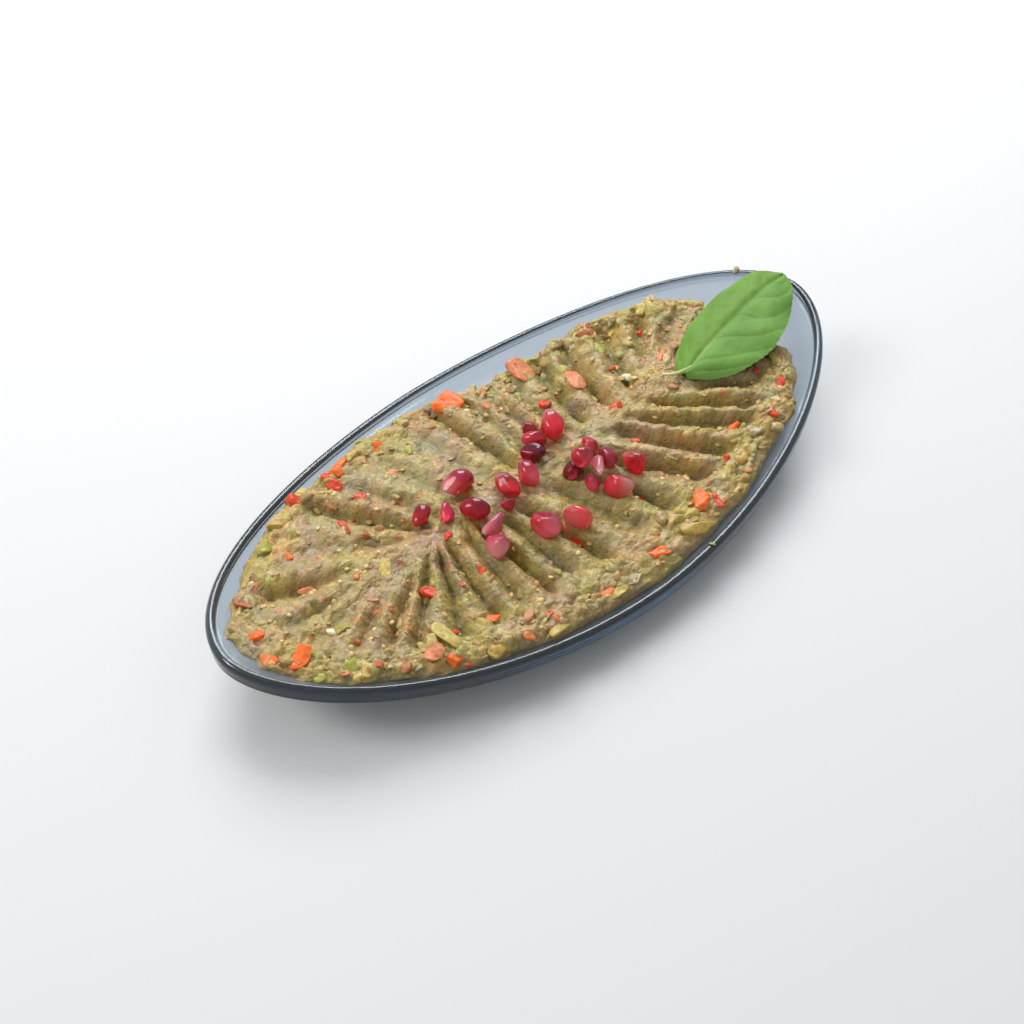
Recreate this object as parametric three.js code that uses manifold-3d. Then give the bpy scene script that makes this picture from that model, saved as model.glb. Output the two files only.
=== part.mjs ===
// A served portion of baba ganoush: chopped smoked aubergine combed with a spoon,
// heaped in a boat-shaped glass dish, with pomegranate arils and one mint leaf on top.
// Millimetres, +Z up, +X towards the leaf end, origin under the middle of the dish's foot.
import * as THREE from "three";
import { mergeVertices } from "three/addons/utils/BufferGeometryUtils.js";
import Module from "manifold-3d";

const wasm = await Module();
wasm.setup();

// ---------------------------------------------------------------- driving dimensions
const RIM_HALF_LENGTH = 124; // centre line of the rim bead, along X
const RIM_HALF_WIDTH = 60; // and along Y
const RIM_POWER = 1.84; // superellipse power: a little more pointed than an ellipse
const RIM_BEAD = 3.3; // thickness of the rounded rim
const SIDE_HEIGHT = 16; // top of the rim at the middle of a long side
const END_LIFT = 13.5; // how much higher the two ends rise
const WALL_DROP = 6.2; // from the top of the rim down to where the wall turns under
const FLOOR_THICKNESS = 4; // glass over the foot
const FLOOR_REACH = 0.35; // share of the inside that is flat
const INSIDE_POWER = 1.8; // how the inside curves up from the floor to the rim
const FOOT_REACH = 0.5; // share of the underside that stands on the table
const UNDER_POWER = 1.6; // how the underside curves up from the foot

const GAP = 0.35; // clearance between the food and the arils pressed into it
const GLASS_GAP = 0.8; // clearance between the food and the faceted glass under it

const HEAP_HEIGHT = SIDE_HEIGHT + 7; // the crest of the food along the middle
const HEAP_EDGE_OVER_RIM = 1.5; // the food's edge over the rim at the long sides
const HEAP_END_SHARE = 0.83; // how much of the rim's lift the food's edge follows
const HEAP_EDGE_REACH = 0.952; // the food's edge as a share of the inside of the rim
const HEAP_EDGE_FALL = 1.6; // how far the top rounds off at the food's edge
const HEAP_SHARES = [0.07, 0.13, 0.2, 0.28, 0.36, 0.45, 0.54, 0.63, 0.71, 0.78, 0.85, 0.92, 0.97, 1];
const HEAP_BASE_SHARES = [1, 0.8, 0.5]; // of the way out, on the glass
const END_BAY = { angle: 0, width: 26, depth: 0.115 }; // where the food's edge stands back
const SIDE_BAY = { angle: 74, width: 16, depth: 0.15 }; // from the rim, angles in degrees
const RAGGED = [[9, 0.7, 0.006], [17, 2, 0.005], [31, 0, 0.004]]; // waves of the food's edge

const ARIL_SINK = 0.3; // share of an aril's half thickness pressed into the food

const LEAF_BASE = new THREE.Vector3(67, -4.2, SIDE_HEIGHT + 10.4);
const LEAF_TIP = new THREE.Vector3(123.6, 3.7, SIDE_HEIGHT + 17.6);
const LEAF_THICKNESS = 0.8;
const LEAF_LEFT = { width: 12.2, skew: 0.88, fullness: 0.43 };
const LEAF_RIGHT = { width: 17.7, skew: 0.76, fullness: 0.87 };
const LEAF_BLUNT = 0.93; // the halves end at this share of their sine, so the tip is wide
const LEAF_ROUND = 0.1; // and is rounded off over this share of the length
const LEAF_ARCH = 2.5; // the midrib bows up between base and tip
const LEAF_DROOP = 2.6; // both halves fall away from the midrib, and so does the tip
const STEM_LENGTH = 7.5;
const STEM_RADIUS = 0.9;

// Spoon furrows, anticlockwise from the -X end: where each starts on the spine (X), the
// direction in degrees in which it meets the food's edge, its depth, and the share of
// the way to the edge that it reaches.
const FURROWS = [
  [-52, -166, 1.6, 0.8], [-50, -153, 2.6, 0.8], [-47, -143.5, 4.2, 0.8],
  [-43.5, -137, 4.4, 0.85], [-42, -126, 5.2, 0.88], [-40, -117, 5.2, 0.8],
  [-32, -112, 3.6, 0.8], [-27, -105, 5.4, 0.78], [-19, -100, 4.6, 0.78],
  [-14, -91.5, 5.6, 0.8], [-0.5, -80, 3.4, 0.78], [10.4, -73, 5.2, 0.8],
  [18, -61, 5.8, 0.85], [33, -54, 5.4, 0.85], [40, -45, 5.0, 0.85],
  [50, -39, 4.4, 0.85], [57, -30, 4.0, 0.85], [60, -17, 3.0, 0.85],
  [61, 1, 2.0, 0.85], [60, 19, 2.6, 0.9], [58, 30, 3.0, 0.9],
  [56, 41, 3.4, 0.9], [52, 50, 4.8, 0.95], [42, 58.5, 5.2, 0.97],
  [29, 63.5, 5.4, 0.97], [22, 71, 2.6, 0.9], [15, 77, 3.0, 0.9],
  [8, 83, 2.4, 0.9], [0, 89.5, 5.0, 0.97], [-11, 98, 1.8, 0.85],
  [-22, 107, 2.0, 0.85], [-31, 116, 2.8, 0.85], [-38.5, 123, 5.0, 0.97],
  [-43, 138, 2.0, 0.8], [-50, 156, 4.6, 0.9], [-51, 177, 2.8, 0.8],
].map(([spineX, edgeAngle, depth, reach]) => ({ spineX, edgeAngle, depth, reach }));
// The crests lie off the rows' middles, so that all rows are steeper towards one side,
// which is at this turn in degrees from -Y.
const LEAN = { size: 0.2, turn: 44 };
// Rows that start close together, this far from the spine's middle, are combed from
// further out.
const FAN = { centre: 4, from: 46, over: 8, late: 0.22, slow: 0.42 };
const BOW = 2.4; // the rows nearer the leaf bend by this much

// Pomegranate arils: place on the plan (X, Y), length, width, yaw and pitch in degrees,
// and the height by which an aril that lies on others stands over the food.
const ARILS = [
  [17.8, 8.1, 11, 8.8, 78, 12, 0.8], [12.8, 13.8, 7, 5.2, 100, 0, 0],
  [9.5, 8.6, 8.4, 5.8, -44, 0, 0.5], [4.1, 4.2, 9.4, 6.4, -44, 0, 0],
  [-3.1, -2.6, 10.2, 7, 82, 6, 0], [-11.2, -1.1, 11, 7.2, 80, 6, 0],
  [-22.7, 9.9, 11.8, 8, -2, 0, 0], [-26.8, -1.9, 10.2, 8, -44, 0, 0],
  [-33.6, 3, 8, 5.2, 46, 0, 0], [-40.2, 7.4, 9, 6, 30, 0, 0],
  [-16.8, -6.9, 5.4, 4.2, -44, 0, 0.5], [-25.8, -10.5, 11, 5.4, 11, 0, 0],
  [-31.2, -18.6, 9.4, 8.4, 46, 0, 0], [-13.7, -21.6, 10.8, 9.2, 88, 0, 0],
  [-4.2, -25.8, 10.2, 8.2, -44, 0, 0], [9.4, -10.2, 8.4, 6.8, 20, 0, -0.6],
  [10.2, -13.4, 8.2, 6.8, 60, 0, 6.4], [21.1, -5.5, 6.4, 5.6, 40, 0, 0],
  [20.5, -14.8, 7.4, 6.4, 60, 0, 0.6], [13.9, -17, 9, 4.4, 46, -8, 4.7],
  [9.6, -18.6, 6, 5.2, 60, 0, 0], [15, -24.6, 9.6, 8.2, -44, 0, 0],
  [26.4, -20.8, 9.6, 7.8, -77, 0, 0],
].map(([x, y, length, width, yaw, pitch, lift]) => ({ x, y, length, width, yaw, pitch, lift }));

// Large chips of pepper and onion that stand out of the food: place, size and yaw.
const CHIPS = [
  [-61.5, 45, 7, 4.4, 70], [-47, 42, 8, 4, 84], [-43, 45.5, 5.6, 4.6, 20],
  [5, 45, 8, 6.6, 10], [33, 39, 8.4, 6.4, 80], [41.5, 22.5, 9.6, 4.6, 65],
  [-110.5, 3.5, 6, 4.2, 60], [-106, -12, 7, 6, 30], [-70, -41, 5.4, 4, 10],
  [-67, -33, 9, 4.2, 100], [33.5, -44.5, 8, 4.4, 48], [7, -50, 8, 3, -28],
  [-10.5, 52, 6, 4, 0], [59, 28, 6.6, 5.4, 40], [-61.5, -0.5, 6, 5, 30],
  [-96, -23, 6.4, 5, 20], [-73.5, -36, 6.6, 4.6, 20], [-50, -35.5, 5.2, 3.4, 20],
  [63.5, -29.5, 5.2, 3, 10], [-6.5, -29, 6, 5, -30],
].map(([x, y, length, width, yaw]) => ({ x, y, length, width, yaw }));
const CHIP_THICKNESS = 3.2;
const CHIP_FULLNESS = 1.15; // a chip's corners reach past its stated length and width

const DISH_COLUMNS = 72;
const DISH_INSIDE_RINGS = [0.35, 0.48, 0.6, 0.71, 0.81, 0.9, 0.97];
const DISH_UNDER_RINGS = [0.95, 0.84, 0.7, 0.5];

// ---------------------------------------------------------------- small helpers
const radians = THREE.MathUtils.degToRad;
const lerp = THREE.MathUtils.lerp;
const fade = THREE.MathUtils.smoothstep;
const signedPower = (value, power) => Math.sign(value) * Math.abs(value) ** power;
const hump = (value, centre, width) => Math.exp(-(((value - centre) / width) ** 2));

function material(colour, roughness, metalness = 0, opacity = 1) {
  return new THREE.MeshStandardMaterial({
    color: colour, roughness, metalness, opacity, transparent: opacity < 1,
  });
}

// One closed body from a stack of rings with equal counts; each end is closed by a list
// of triangles over that ring, or by a fan round a centre point.
function bodyOfRings(rings, topCap, bottomCap) {
  const count = rings[0].length;
  const points = rings.flat();
  const faces = [];
  for (let row = 0; row + 1 < rings.length; row++) {
    for (let i = 0; i < count; i++) {
      const a = row * count + i;
      const b = row * count + ((i + 1) % count);
      faces.push(a, a + count, b, b, a + count, b + count);
    }
  }
  const close = (cap, first, upwards) => {
    if (cap instanceof THREE.Vector3) {
      points.push(cap);
      const centre = points.length - 1;
      for (let i = 0; i < count; i++) {
        const a = first + i;
        const b = first + ((i + 1) % count);
        faces.push(...(upwards ? [centre, a, b] : [centre, b, a]));
      }
      return;
    }
    for (const [a, b, c] of cap) {
      const [second, third] = upwards ? [b, c] : [c, b];
      faces.push(first + a, first + second, first + third);
    }
  };
  close(topCap, 0, true);
  close(bottomCap, (rings.length - 1) * count, false);
  return new THREE.BufferGeometry().setFromPoints(points).setIndex(faces);
}

// Between three.js geometry and a manifold-3d solid.
function toSolid(geometry) {
  const bare = geometry.clone();
  bare.deleteAttribute("normal");
  bare.deleteAttribute("uv");
  const merged = mergeVertices(bare, 1e-4);
  return new wasm.Manifold(
    new wasm.Mesh({
      numProp: 3,
      vertProperties: new Float32Array(merged.attributes.position.array),
      triVerts: new Uint32Array(merged.index.array),
    }),
  );
}

function fromSolid(solid) {
  const { vertProperties, triVerts } = solid.getMesh();
  const geometry = new THREE.BufferGeometry()
    .setAttribute("position", new THREE.BufferAttribute(vertProperties, 3))
    .setIndex(new THREE.BufferAttribute(triVerts, 1));
  geometry.computeVertexNormals();
  return geometry;
}

// ---------------------------------------------------------------- the dish's form
// A point of the superellipse inset by a distance from the rim's centre line.
function outline(angle, inset, share = 1) {
  const power = 2 / RIM_POWER;
  return new THREE.Vector2(
    share * (RIM_HALF_LENGTH - inset) * signedPower(Math.cos(angle), power),
    share * (RIM_HALF_WIDTH - inset) * signedPower(Math.sin(angle), power),
  );
}

const rimTop = (x) => SIDE_HEIGHT + END_LIFT * (x / RIM_HALF_LENGTH) ** 2;

// Height of the glass under a point of the plan: a flat floor, then a power curve up to
// the inside of the rim along the ray from the middle.
function insideHeight(x, y) {
  const inset = RIM_BEAD / 2;
  const share =
    (Math.abs(x / (RIM_HALF_LENGTH - inset)) ** RIM_POWER +
      Math.abs(y / (RIM_HALF_WIDTH - inset)) ** RIM_POWER) ** (1 / RIM_POWER);
  if (share <= FLOOR_REACH) return FLOOR_THICKNESS;
  const rise = rimTop(x / share) - inset - FLOOR_THICKNESS;
  return FLOOR_THICKNESS + rise * ((share - FLOOR_REACH) / (1 - FLOOR_REACH)) ** INSIDE_POWER;
}

function dishGeometry() {
  const radius = RIM_BEAD / 2;
  const angles = Array.from({ length: DISH_COLUMNS }, (_, i) => (2 * Math.PI * i) / DISH_COLUMNS);
  const ring = (pointAt) => angles.map(pointAt);
  const inside = DISH_INSIDE_RINGS.map((share) =>
    ring((angle) => {
      const { x, y } = outline(angle, radius, share);
      return new THREE.Vector3(x, y, insideHeight(x, y));
    }),
  );
  // The rounded rim, then the upright outer wall: inset from the centre line, drop from the top.
  const section = [
    [radius, radius], [radius * 0.7, radius * 0.3], [0, 0], [-radius * 0.7, radius * 0.3],
    [-radius, radius], [-radius * 0.85, radius * 2], [-radius * 0.75, WALL_DROP - 1],
    [-radius * 0.3, WALL_DROP],
  ];
  const wall = section.map(([inset, drop]) =>
    ring((angle) => {
      const { x, y } = outline(angle, inset);
      return new THREE.Vector3(x, y, rimTop(outline(angle, 0).x) - drop);
    }),
  );
  const under = DISH_UNDER_RINGS.map((share) =>
    ring((angle) => {
      const { x, y } = outline(angle, 0, share);
      const turn = rimTop(x / share) - WALL_DROP;
      const climb = ((share - FOOT_REACH) / (1 - FOOT_REACH)) ** UNDER_POWER;
      return new THREE.Vector3(x, y, turn * climb);
    }),
  );
  return bodyOfRings(
    [...inside, ...wall, ...under],
    new THREE.Vector3(0, 0, FLOOR_THICKNESS),
    new THREE.Vector3(0, 0, 0),
  );
}

// ---------------------------------------------------------------- the food's form
// The food's ragged edge as a share of the dish's inside, all round: it stops short of
// the rim at the leaf end and along part of the far side.
function edgeReach(angle) {
  const degrees = THREE.MathUtils.radToDeg(angle);
  const bays = [END_BAY, SIDE_BAY].map((bay) => bay.depth * hump(degrees, bay.angle, bay.width));
  const ragged = RAGGED.map(([waves, phase, size]) => size * Math.sin(waves * angle + phase));
  const sum = (list) => list.reduce((total, value) => total + value, 0);
  return HEAP_EDGE_REACH - sum(bays) + sum(ragged);
}

// How deep a row is cut at a share of the way between two furrows: 1 in the furrow, 0 on
// the crest, with a sharp bottom and a round top.
function cut(share, crest) {
  const towards = share < crest ? share / crest : (1 - share) / (1 - crest);
  return 1 - ((1 - Math.cos(Math.PI * towards)) / 2) ** 0.6;
}

const lumps = (x, y) =>
  0.45 * Math.sin(0.52 * x + 1.3 * Math.sin(0.21 * y)) * Math.sin(0.61 * y + 0.8) +
  0.3 * Math.sin(0.93 * x - 0.4 * y) * Math.sin(0.37 * x + 0.88 * y);

// The columns of the food's skin: each runs from the spine to the edge, in a furrow, on
// the next crest or halfway between the two.
function combColumns() {
  const columns = [];
  FURROWS.forEach((furrow, i) => {
    const next = FURROWS[(i + 1) % FURROWS.length];
    const nextAngle = next.edgeAngle + (i + 1 === FURROWS.length ? 360 : 0);
    const middle = radians((furrow.edgeAngle + nextAngle) / 2 + LEAN.turn);
    const crest = 0.5 - LEAN.size * Math.cos(middle);
    for (const share of [0, crest / 2, crest, (1 + crest) / 2]) {
      const angle = radians(lerp(furrow.edgeAngle, nextAngle, share));
      columns.push({
        spineX: lerp(furrow.spineX, next.spineX, share),
        angle: angle > Math.PI ? angle - 2 * Math.PI : angle,
        depth: lerp(furrow.depth, next.depth, share) * cut(share, crest),
        reach: lerp(furrow.reach, next.reach, share),
      });
    }
  });
  return columns;
}

// A point of the food's top, at a share of the way from the spine to the edge.
function heapPoint(column, share) {
  const edge = outline(column.angle, RIM_BEAD / 2, edgeReach(column.angle));
  const bow = BOW * THREE.MathUtils.clamp(column.spineX / 40, 0, 1) * Math.sin(Math.PI * share);
  const x = lerp(column.spineX, edge.x, share) - bow;
  const y = edge.y * share;
  const edgeHeight =
    SIDE_HEIGHT + HEAP_EDGE_OVER_RIM +
    HEAP_END_SHARE * END_LIFT * (edge.x / RIM_HALF_LENGTH) ** 2;
  const dome = lerp(HEAP_HEIGHT, edgeHeight, share ** 2) - HEAP_EDGE_FALL * fade(share, 0.95, 1);
  // A furrow deepens out of the spine and runs out before the edge.
  const runOut = 1 - fade(share, column.reach - 0.12, column.reach + 0.04);
  const offCentre = Math.abs(column.spineX - FAN.centre);
  const fanned = THREE.MathUtils.clamp((offCentre - FAN.from) / FAN.over, 0, 1);
  const combed = fade(share, 0.04 + FAN.late * fanned, 0.2 + FAN.slow * fanned) * runOut;
  return new THREE.Vector3(x, y, dome - column.depth * combed + lumps(x, y));
}

function heapGeometry() {
  const columns = combColumns();
  const top = HEAP_SHARES.map((share) => columns.map((column) => heapPoint(column, share)));
  const base = HEAP_BASE_SHARES.map((share) =>
    top.at(-1).map(({ x, y }) => {
      const place = new THREE.Vector2(x, y).multiplyScalar(share);
      return new THREE.Vector3(place.x, place.y, insideHeight(place.x, place.y) + GLASS_GAP);
    }),
  );
  const spine = top[0].map(({ x, y }) => new THREE.Vector2(x, y));
  const cap = THREE.ShapeUtils.triangulateShape(spine, []).map((face) => {
    const [a, b, c] = face.map((i) => spine[i]);
    const turn = (b.x - a.x) * (c.y - a.y) - (b.y - a.y) * (c.x - a.x);
    return turn > 0 ? face : [face[0], face[2], face[1]];
  });
  const under = new THREE.Vector3(0, 0, FLOOR_THICKNESS + GLASS_GAP);
  return bodyOfRings([...top, ...base], cap, under);
}

// The height of the topmost of some surfaces over a point of the plan.
function heightAt(x, y, ...meshes) {
  const above = new THREE.Vector3(x, y, RIM_HALF_LENGTH);
  const ray = new THREE.Raycaster(above, new THREE.Vector3(0, 0, -1));
  return ray.intersectObjects(meshes)[0].point.z;
}

// A flat-faced chip, half sunk in the food.
function chipGeometry({ x, y, length, width, yaw }, mound) {
  return new THREE.IcosahedronGeometry(0.5, 0)
    .scale(length * CHIP_FULLNESS, width * CHIP_FULLNESS, CHIP_THICKNESS)
    .rotateZ(radians(yaw))
    .translate(x, y, heightAt(x, y, mound));
}

// ---------------------------------------------------------------- arils
const ARIL_SIDES = 8;
const ARIL_RINGS = 5;
const ARIL_TAPER = 0.22; // fuller towards its +X end
const ARIL_FACETS = 0.04; // its neighbours pressed its sides a little flat
const FOOTING_SHARE = 0.3; // how far out from its middle an aril feels for the food

// An aril lies along X before it is turned: a round body, fuller towards one end.
function arilGeometry({ length, width }, grow = 0) {
  const ringAt = (row) => {
    const along = Math.cos((Math.PI * row) / (ARIL_RINGS + 1));
    const girth = Math.sqrt(1 - along ** 2) * (1 + ARIL_TAPER * along);
    return Array.from({ length: ARIL_SIDES }, (_, i) => {
      const turn = (2 * Math.PI * i) / ARIL_SIDES;
      const radius = (width / 2 + grow) * girth * (1 + ARIL_FACETS * Math.cos(5 * turn));
      return new THREE.Vector3(
        along * (length / 2 + grow), radius * Math.cos(turn), radius * Math.sin(turn),
      );
    });
  };
  const rings = Array.from({ length: ARIL_RINGS }, (_, i) => ringAt(i + 1));
  const tip = new THREE.Vector3(length / 2 + grow, 0, 0);
  return bodyOfRings(rings, tip, tip.clone().negate());
}

// Turns an aril and sets it down on the highest food under it, or lifted on its neighbours.
function layAril(aril, geometry, mound) {
  const yaw = radians(aril.yaw);
  const footing = [[0, 0], [1, 0], [-1, 0], [0, 1], [0, -1]].map(([along, across]) => {
    const place = new THREE.Vector2(along * aril.length, across * aril.width)
      .multiplyScalar(FOOTING_SHARE)
      .rotateAround(new THREE.Vector2(), yaw);
    return heightAt(aril.x + place.x, aril.y + place.y, mound);
  });
  const floor = Math.max(...footing);
  return geometry
    .rotateY(radians(-aril.pitch))
    .rotateZ(yaw)
    .translate(aril.x, aril.y, floor + (aril.width / 2) * (1 - ARIL_SINK) + aril.lift);
}

// ---------------------------------------------------------------- the mint leaf
const LEAF_ROWS = 18;
const LEAF_COLUMNS = 10;

// A point of the blade: share along the midrib, and across from -1 (right edge) to 1.
function leafPoint(along, across) {
  const side = across > 0 ? LEAF_LEFT : LEAF_RIGHT;
  const swell = Math.sin(Math.PI * (LEAF_BLUNT * along) ** side.skew) ** side.fullness;
  const beyond = Math.max(0, 1 - (1 - along) / LEAF_ROUND);
  const halfWidth = side.width * swell * Math.sqrt(1 - beyond ** 2);
  const teeth = 1 + 0.025 * Math.sin(40 * along) * Math.abs(across) ** 4;
  const axis = LEAF_TIP.clone().sub(LEAF_BASE);
  const sideways = new THREE.Vector3(-axis.y, axis.x, 0).normalize();
  const point = LEAF_BASE.clone()
    .addScaledVector(axis, along)
    .addScaledVector(sideways, across * halfWidth * teeth);
  const veins = 0.35 * Math.sin(22 * along - 5 * Math.abs(across)) * Math.abs(across);
  const crease = -0.5 * hump(across, 0, 0.12);
  const fall = across ** 2 + (1 - across ** 2) * fade(along, 0.8, 1);
  point.z += LEAF_ARCH * Math.sin(Math.PI * along) - LEAF_DROOP * fall + veins + crease;
  return point;
}

function leafGeometry() {
  const shares = Array.from(
    { length: LEAF_ROWS - 1 }, (_, i) => (1 - Math.cos((Math.PI * (i + 1)) / LEAF_ROWS)) / 2,
  );
  const acrosses = Array.from({ length: LEAF_COLUMNS + 1 }, (_, j) => (2 * j) / LEAF_COLUMNS - 1);
  const sheet = (offset) => [
    leafPoint(0.001, 0), ...shares.flatMap((s) => acrosses.map((t) => leafPoint(s, t))),
    leafPoint(0.999, 0),
  ].map((point) => point.add(new THREE.Vector3(0, 0, offset)));
  const upper = sheet(LEAF_THICKNESS / 2);
  const lower = sheet(-LEAF_THICKNESS / 2);
  const wide = LEAF_COLUMNS + 1;
  const last = upper.length - 1;
  const at = (row, column) => 1 + row * wide + column;
  const faces = [];
  for (let column = 0; column + 1 < wide; column++) {
    faces.push([0, at(0, column), at(0, column + 1)]);
    const end = LEAF_ROWS - 2;
    faces.push([last, at(end, column + 1), at(end, column)]);
    for (let row = 0; row < end; row++) {
      const [a, b] = [at(row, column), at(row, column + 1)];
      const [c, d] = [at(row + 1, column), at(row + 1, column + 1)];
      faces.push([a, c, b], [b, c, d]);
    }
  }
  // The edge, all round: out along the right side and back along the left.
  const right = shares.map((_, row) => at(row, 0));
  const left = shares.map((_, row) => at(row, wide - 1)).reverse();
  const loop = [0, ...right, last, ...left];
  const below = last + 1;
  const index = faces.flatMap(([a, b, c]) => [a, b, c, below + a, below + c, below + b]);
  loop.forEach((a, i) => {
    const b = loop[(i + 1) % loop.length];
    index.push(a, below + a, b, b, below + a, below + b);
  });
  return new THREE.BufferGeometry().setFromPoints([...upper, ...lower]).setIndex(index);
}

// The stalk's stub runs back from the blade and lies just over the food.
function stemGeometry() {
  const path = new THREE.QuadraticBezierCurve3(
    LEAF_BASE.clone().add(new THREE.Vector3(3.5, 0.4, 0.1)),
    LEAF_BASE.clone().add(new THREE.Vector3(-STEM_LENGTH * 0.4, 1.6, -0.8)),
    LEAF_BASE.clone().add(new THREE.Vector3(-STEM_LENGTH * 0.7, STEM_LENGTH * 0.72, -1)),
  );
  const section = new THREE.Shape().absarc(0, 0, STEM_RADIUS, 0, 2 * Math.PI);
  return new THREE.ExtrudeGeometry(section, {
    steps: 6, curveSegments: 4, bevelEnabled: false, extrudePath: path,
  });
}

// ---------------------------------------------------------------- assembly
const glass = material(0x6f7f90, 0.08, 0, 0.45);
const mash = material(0x9a8757, 0.6);
const pomegranate = material(0xb3202f, 0.18);
const mint = material(0x5f9a45, 0.55);

const meal = new THREE.Group();

function addPart(name, geometry, finish) {
  const mesh = new THREE.Mesh(geometry, finish);
  mesh.name = name;
  meal.add(mesh);
}

addPart("dish", dishGeometry(), glass);

const bareHeap = new THREE.Mesh(heapGeometry(), material(0xffffff, 1));
const arilSolids = ARILS.map((one) => toSolid(layAril(one, arilGeometry(one), bareHeap)));
let heap = toSolid(bareHeap.geometry);
CHIPS.forEach((chip) => {
  heap = heap.add(toSolid(chipGeometry(chip, bareHeap)));
});
ARILS.forEach((one) => {
  heap = heap.subtract(toSolid(layAril(one, arilGeometry(one, GAP), bareHeap)));
});
addPart("aubergine_salad", fromSolid(heap), mash);

arilSolids.forEach((solid, i) => {
  addPart("aril_" + String(i + 1).padStart(2, "0"), fromSolid(solid), pomegranate);
});

const leaf = toSolid(leafGeometry()).add(toSolid(stemGeometry()));
addPart("mint_leaf", fromSolid(leaf), mint);

export default meal;
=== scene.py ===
# %% [markdown]
# # Baba ganoush in a smoked glass dish
# Chopped smoked aubergine lies in a boat-shaped dish of grey glass. A spoon has combed it
# into rows that fan out from the middle. Pomegranate arils lie on the crest and one mint
# leaf rests on the end. All is worked out in millimetres, in the frame of the solid
# model: X along the dish towards the leaf, Y across it, Z up from the table. Each solid
# has the right place and size but a plain faceted skin, so a finer surface replaces it.

import bpy
import numpy as np
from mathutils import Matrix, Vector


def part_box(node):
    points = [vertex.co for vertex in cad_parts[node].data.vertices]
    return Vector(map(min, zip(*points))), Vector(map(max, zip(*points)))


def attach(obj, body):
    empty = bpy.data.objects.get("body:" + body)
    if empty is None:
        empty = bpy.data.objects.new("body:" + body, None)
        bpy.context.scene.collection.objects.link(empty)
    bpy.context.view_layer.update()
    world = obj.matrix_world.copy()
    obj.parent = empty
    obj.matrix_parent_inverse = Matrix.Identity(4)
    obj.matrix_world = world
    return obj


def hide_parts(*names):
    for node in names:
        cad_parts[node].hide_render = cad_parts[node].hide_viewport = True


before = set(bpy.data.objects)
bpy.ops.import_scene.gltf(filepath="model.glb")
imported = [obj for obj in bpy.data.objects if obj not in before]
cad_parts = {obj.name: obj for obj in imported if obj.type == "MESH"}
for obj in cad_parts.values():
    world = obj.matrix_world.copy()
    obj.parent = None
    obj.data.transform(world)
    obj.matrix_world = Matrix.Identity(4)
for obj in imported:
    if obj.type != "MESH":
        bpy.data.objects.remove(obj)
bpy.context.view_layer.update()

# %% [markdown]
# ## Meshes out of arrays
# Each surface is a grid of points that numpy works out in one go, because a formula is
# easy to read, to change and to repeat. A closed body is a stack of rings between two end
# points: quads join neighbouring rings and a fan of triangles joins each end point.

# %% Stacks of rings
MM = 0.001
UP = np.array([0, 0, 1])


def stack_faces(rows, columns):
    """Corner numbers of the faces of a closed stack: point 0, then rows of columns, then
    the last point. Rings run anticlockwise seen from point 0, so faces point outwards."""
    here = np.arange(columns)
    after = (here + 1) % columns
    row = np.arange(rows - 1)[:, None] * columns
    a, b = 1 + row + here, 1 + row + after
    quads = np.stack([a, a + columns, b + columns, b], -1).reshape(-1, 4)
    first = np.stack([0 * here, 1 + here, 1 + after], -1)
    last = rows * columns + 1
    base = last - columns
    final = np.stack([0 * here + last, base + after, base + here], -1)
    return quads, np.concatenate([first, final])


def closed_stack(first, rings, last):
    """The points of such a stack, in one list."""
    return np.concatenate([np.reshape(first, (1, 3)), rings.reshape(-1, 3), np.reshape(last, (1, 3))])


print("faces of a small stack:", [len(f) for f in stack_faces(3, 8)])

# %% [markdown]
# ## From array to piece
# A piece carries its colours as an attribute on its points, called tint. Points half a
# millimetre apart hold food colours well, and each colour stays on its chunk of food.

# %% Make a piece


def make_piece(name, points, faces, finish, tint):
    """A mesh object from points in millimetres and lists of faces, with its finish and one
    colour for each point."""
    mesh = bpy.data.meshes.new(name)
    corners = [tuple(face) for group in faces for face in np.asarray(group).tolist()]
    mesh.from_pydata((points * MM).tolist(), [], corners)
    colours = np.ones((len(points), 4), np.float32)
    colours[:, :3] = np.clip(tint, 0, 1)
    layer = mesh.color_attributes.new("tint", "FLOAT_COLOR", "POINT")
    layer.data.foreach_set("color", colours.ravel())
    mesh.polygons.foreach_set("use_smooth", np.full(len(mesh.polygons), True))
    mesh.materials.append(finish)
    mesh.validate()
    mesh.update()
    piece = bpy.data.objects.new(name, mesh)
    bpy.context.scene.collection.objects.link(piece)
    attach(piece, "root")
    triangles = sum(len(p.vertices) - 2 for p in mesh.polygons)
    print(name, len(mesh.vertices), "points", triangles, "triangles")
    return piece


def srgb(*values):
    """Screen colours 0..255 as the linear light that a shader works with."""
    v = np.asarray(values, float) / 255
    return np.where(v < 0.04045, v / 12.92, ((v + 0.055) / 1.055) ** 2.4)


# %% [markdown]
# ## Chance that stays put
# Mashed food needs irregular forms, but the same ones on each run. A hash turns the
# corner of a grid cell into a number that looks random and never changes. Blending the
# corners gives soft swells. The distance to one jittered point in each cell gives rounded
# crumbs with creases between them, which is how chopped flesh packs.

# %% Noise on the plan and in space


def blend(first, second, share):
    """The first at share 0, the second at share 1 and a straight mix between."""
    return first * (1 - share) + second * share


def chance(ix, iy, seed):
    """0..1 for a cell: the fraction left of a large multiple of a sine."""
    v = np.sin(ix * 127.1 + iy * 311.7 + seed * 74.7) * 43758.5453
    return v - np.floor(v)


def ease(value, low, high):
    """0 below low, 1 above high, and 3t^2 - 2t^3 between."""
    t = np.clip((value - low) / (high - low), 0, 1)
    return t * t * (3 - 2 * t)


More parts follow.
